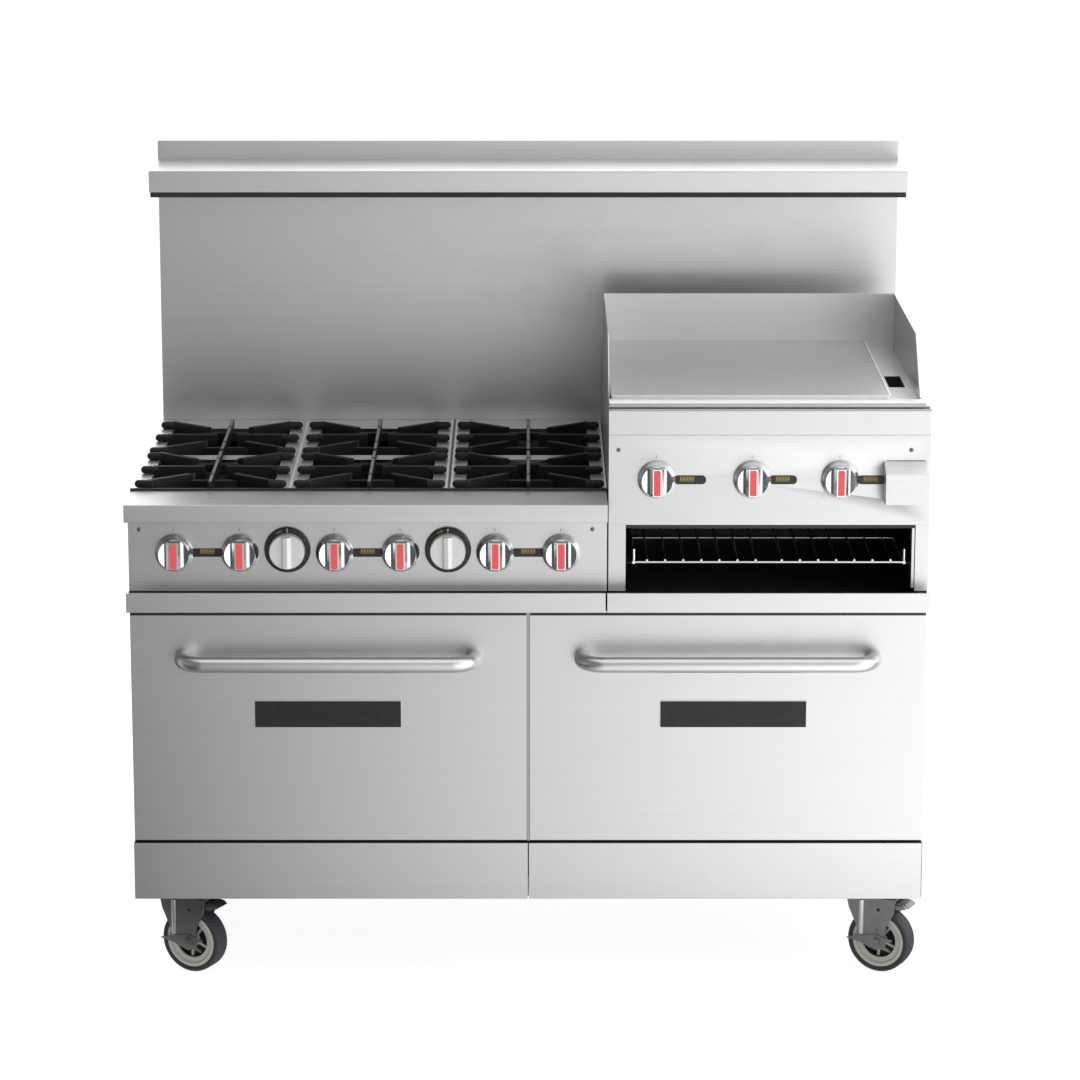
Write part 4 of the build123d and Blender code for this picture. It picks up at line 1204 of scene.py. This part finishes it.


# ---- seams and beads that break up the sheet metal, with dark strips of painted shade and light strips of painted highlight
def makeSeamsAndPaintedLight():
    shape = bmesh.new()
    deckZ = 0.966
    addBox(shape, (-0.7615, 0.1500), (faceY + 0.0725, faceY + 0.0790),
           (deckZ - 0.004, deckZ + 0.0042), 0)
    addBox(shape, (-0.1544, -0.1504), (faceY + 0.0795, faceY + 0.750), (deckZ, deckZ + 0.0006), 0)
    # bright beads on the deck between the burner sections take the light steel, a painted highlight
    for x in (-0.4572, -0.1575, -0.1473, 0.1485):
        addBox(shape, (x - 0.0018, x + 0.0018), (faceY + 0.0795, faceY + 0.750),
               (deckZ, deckZ + 0.0014), 3)
    addBox(shape, (0.1526, 0.7603), (faceY - 0.0012, faceY - 0.0006), (1.0896, 1.0904), 2)
    addBox(shape, (0.7288, 0.7342), (faceY + 0.0050, faceY + 0.030), (0.7915, 0.9150), 1)
    addBox(shape, (0.1860, 0.7345), (faceY + 0.0016, faceY + 0.0060), (0.9090, 0.9155), 0)
    # the frame seen through the gap between the doors, in the darker steel: painted shade
    addBox(shape, (-0.0024, 0.0024), (faceY + 0.0020, faceY + 0.0036), (0.2890, 0.7470), 4)
    # a black strip behind the gap under the doors: painted shade
    addBox(shape, (-0.7600, 0.7600), (faceY + 0.0155, faceY + 0.0175), (0.2500, 0.2887), 0)
    # a darker steel band under the griddle lip: painted shade in the recess
    addBox(shape, (0.1540, 0.7610), (faceY + 0.0004, faceY + 0.0020), (1.1335, 1.1400), 4)
    # a light steel bead along the griddle's right edge: painted highlight
    addBox(shape, (0.6815, 0.6860), (faceY + 0.0310, faceY + 0.5990), (1.1580, 1.1622), 3)
    # a black line on the panel just behind the crumb trays' top edge: painted shadow
    addBox(shape, (-0.7610, 0.1500), (faceY - 0.0008, faceY + 0.0004), (0.7815, 0.7862), 0)
    # dark lines at the kick's outer edges: the joint with the side panels, darkened as painted
    # shadow of the panel edges
    for x in (-0.7619, 0.7605):
        addBox(shape, (x, x + 0.0014), (faceY - 0.0003, faceY + 0.0003), (0.1760, 0.2840), 2)
    mesh = finishShape(shape, "panel_seams_and_painted_light")
    piece = asPiece("panel_seams_and_painted_light", mesh, [blackPlastic, stainless, greyInk, highlightSteel, shadedSteel],
                    "range_body")
    roundEdges(piece, 0.0004, 2)


makeSeamsAndPaintedLight()


baffleLook = {"xs": (-0.600, 0.600), "ys": (0.3780, 0.3792, 0.3935), "zs": (0.800, 0.9038, 0.905),
              "wall": 0.0012}


def makeBaffle():
    # a folded plate hung just inside the rear vent slots
    shape = bmesh.new()
    low, high = baffleLook["xs"]
    front, middle, rear = baffleLook["ys"]
    bottom, under, top = baffleLook["zs"]
    wall = baffleLook["wall"]
    addBox(shape, (low, high), (front, middle), (bottom, top))
    addBox(shape, (low, high), (middle, rear), (under, top))
    for x in (low, high - wall):
        addBox(shape, (x, x + wall), (middle, rear), (bottom, under))
    mesh = finishShape(shape, "vent_baffle")
    piece = asPiece("vent_baffle", mesh, [blackEnamel], "range_body")
    roundEdges(piece, 0.0004, 2)


makeBaffle()


doorShadowLook = {"ys": (faceY - 0.0004, faceY + 0.0008), "zs": (0.7385, 0.7445)}


# a black strip along the top of each door: painted shadow under the crumb tray's front edge
def makeDoorShadowStrip(side, low, high):
    shape = bmesh.new()
    addBox(shape, (low, high), doorShadowLook["ys"], doorShadowLook["zs"], 0)
    mesh = finishShape(shape, f"door_shadow_strip_{side}")
    piece = asPiece(f"door_shadow_strip_{side}", mesh, [blackPlastic], f"oven_door_{side}")
    roundEdges(piece, 0.0003, 2)


makeDoorShadowStrip("left", -0.7585, -0.0035)
makeDoorShadowStrip("right", 0.0035, 0.7585)
print("seams done")


# ---- floor, light and camera
def addSheet(name, xs, ys, z, material):
    mesh = bpy.data.meshes.new(name)
    mesh.from_pydata([(xs[0], ys[0], z), (xs[1], ys[0], z), (xs[1], ys[1], z), (xs[0], ys[1], z)],
                     [], [(0, 1, 2, 3)])
    mesh.materials.append(material)
    sheet = bpy.data.objects.new(name, mesh)
    bpy.context.scene.collection.objects.link(sheet)
    return sheet


floorLook = {"half": 45, "glow": 0.86, "tone": (0.36, 0.36, 0.36), "toneFar": (0.40, 0.40, 0.40)}


def makeFloor():
    material, tree, shader = startMaterial("paleFloor", Roughness=0.7)
    shader.inputs["Specular IOR Level"].default_value = 0.1
    place = addNode(tree, "ShaderNodeTexCoord")
    cloud = addNode(tree, "ShaderNodeTexNoise", Scale=0.6, Detail=3.0)
    join(tree, place.outputs["Object"], cloud.inputs["Vector"])
    join(tree, mixColour(tree, cloud.outputs["Fac"], floorLook["tone"], floorLook["toneFar"]),
         shader.inputs["Base Color"])
    shader.inputs["Emission Color"].default_value = (1, 1, 1, 1)
    shader.inputs["Emission Strength"].default_value = floorLook["glow"]
    half = floorLook["half"]
    addSheet("floor", (-half, half), (-half, half), 0, material)


makeFloor()

cardLook = {
    "xs": (-9, 9),
    "ys": (-16, -0.40),
    "z": 0.003,
    "fanY": 7.2,  # the shading fans out from this point behind the range
    "fanRun": 7.5,
    "edges": (-0.96, 0.96),
    "dim": 0.10,
    "bright": 2.0,
    "nearYs": (-0.9, -0.42),
    "nearDim": 0.35,
    "surround": 0.55,
    "far": 30,
}


def onlyReflect(card):
    card.visible_camera = False
    card.visible_diffuse = False
    card.visible_shadow = False
    card.visible_transmission = False


def makeReflectionCard():
    # a graded card low in front, seen only in reflections: dim to the left, bright to the right
    look = cardLook
    material = bpy.data.materials.new("gradedCard")
    material.use_nodes = True
    tree = material.node_tree
    tree.nodes.clear()
    place = addNode(tree, "ShaderNodeTexCoord")
    split = addNode(tree, "ShaderNodeSeparateXYZ")
    join(tree, place.outputs["Object"], split.inputs[0])
    reach = mathNode(tree, "SUBTRACT", look["fanY"], split.outputs["Y"])
    across = mathNode(tree, "MULTIPLY", mathNode(tree, "DIVIDE", split.outputs["X"], reach),
                      look["fanRun"])
    glow = addNode(tree, "ShaderNodeEmission")
    graded = spread(tree, across, *look["edges"], look["dim"], look["bright"])
    near = spread(tree, split.outputs["Y"], *look["nearYs"], 1.0, look["nearDim"])
    join(tree, mathNode(tree, "MULTIPLY", graded, near), glow.inputs["Strength"])
    out = addNode(tree, "ShaderNodeOutputMaterial")
    join(tree, glow.outputs[0], out.inputs[0])
    onlyReflect(addSheet("reflectionCard", look["xs"], look["ys"], look["z"], material))


makeReflectionCard()


def makeSurroundCards():
    # even grey cards beside and behind the range, so that sheets facing that way keep their tone
    material = bpy.data.materials.new("plainCard")
    material.use_nodes = True
    tree = material.node_tree
    tree.nodes.clear()
    glow = addNode(tree, "ShaderNodeEmission")
    glow.inputs["Strength"].default_value = cardLook["surround"]
    out = addNode(tree, "ShaderNodeOutputMaterial")
    join(tree, glow.outputs[0], out.inputs[0])
    far = cardLook["far"]
    edgeX, edgeY = cardLook["xs"][1], cardLook["ys"][1]
    for name, xs, ys in (("rearCard", (-far, far), (edgeY, far)),
                         ("leftCard", (-far, -edgeX), (-far, edgeY)),
                         ("rightCard", (edgeX, far), (-far, edgeY))):
        onlyReflect(addSheet(name, xs, ys, cardLook["z"], material))


makeSurroundCards()


def makeLight(name, size, energy, location, target):
    data = bpy.data.lights.new(name, "AREA")
    data.shape = "RECTANGLE"
    data.size, data.size_y = size
    data.energy = energy
    light = bpy.data.objects.new(name, data)
    light.location = location
    aim = Vector(target) - Vector(location)
    light.rotation_mode = "QUATERNION"
    light.rotation_quaternion = aim.to_track_quat("-Z", "Y")
    bpy.context.scene.collection.objects.link(light)
    light.visible_camera = False
    return light


studioLook = {
    "overhead": {"size": (8, 7), "energy": 165, "location": (0.3, 0.4, 4.6),
                 "target": (0, 0.2, 0.6)},
    "rightBox": {"size": (4.5, 4.0), "energy": 70, "location": (4.6, -2.5, 2.6),
                 "target": (0.2, 0, 0.7)},
    "sides": (0.36, 1.55),  # surround strength to the left and to the right
    "front": (0.16, 1.55),  # the same across the front, where flat sheets look for their shading
    "worldTop": 0.35,
    "worldBehind": 1.6,
}


def makeWorld():
    # soft surround, brighter to the right and behind, dimmer overhead; the backdrop itself is white
    look = studioLook
    world = bpy.data.worlds.new("studio")
    bpy.context.scene.world = world
    world.use_nodes = True
    tree = world.node_tree
    background = tree.nodes["Background"]
    place = addNode(tree, "ShaderNodeTexCoord")
    split = addNode(tree, "ShaderNodeSeparateXYZ")
    join(tree, place.outputs["Generated"], split.inputs[0])
    side = spread(tree, split.outputs["X"], -0.6, 0.6, *look["sides"])
    depth = mathNode(tree, "ADD", mathNode(tree, "ABSOLUTE", split.outputs["Y"]), 0.1)
    fan = mathNode(tree, "DIVIDE", split.outputs["X"], depth)
    front = spread(tree, fan, -0.14, 0.14, *look["front"])
    facing = spread(tree, split.outputs["Y"], -0.85, -0.5, 1.0, 0.0)
    extra = mathNode(tree, "MULTIPLY", mathNode(tree, "SUBTRACT", front, side), facing)
    side = mathNode(tree, "ADD", side, extra)
    height = spread(tree, split.outputs["Z"], 0.1, 0.8, 1.0, look["worldTop"])
    behind = spread(tree, split.outputs["Y"], 0.2, 0.9, 0.0, look["worldBehind"])
    low = spread(tree, split.outputs["Z"], 0.25, 0.6, 1.0, 0.2)
    soft = mathNode(tree, "ADD", mathNode(tree, "MULTIPLY", side, height),
                    mathNode(tree, "MULTIPLY", behind, low))
    ray = addNode(tree, "ShaderNodeLightPath")
    seen = addNode(tree, "ShaderNodeMix")
    join(tree, ray.outputs["Is Camera Ray"], seen.inputs[0])
    join(tree, soft, seen.inputs[2])
    seen.inputs[3].default_value = 1.05
    join(tree, seen.outputs[0], background.inputs["Strength"])
    background.inputs["Color"].default_value = (1, 1, 1, 1)


makeWorld()
for name in ("overhead", "rightBox"):
    makeLight(name, **studioLook[name])

cameraLook = {"location": (0, -7.5246, 2.5825), "pitch": 77.28, "lens": 129.4, "shiftX": 0.0109,
              "shiftY": -0.0367}
cameraData = bpy.data.cameras.new("camera")
cameraData.lens = cameraLook["lens"]
cameraData.sensor_width = 36
cameraData.shift_x = cameraLook["shiftX"]
cameraData.shift_y = cameraLook["shiftY"]
cameraData.clip_end = 200
camera = bpy.data.objects.new("camera", cameraData)
camera.location = cameraLook["location"]
camera.rotation_euler = (math.radians(cameraLook["pitch"]), 0, 0)
bpy.context.scene.collection.objects.link(camera)
bpy.context.scene.camera = camera
bpy.context.scene.view_settings.view_transform = "Standard"
print("studio done")
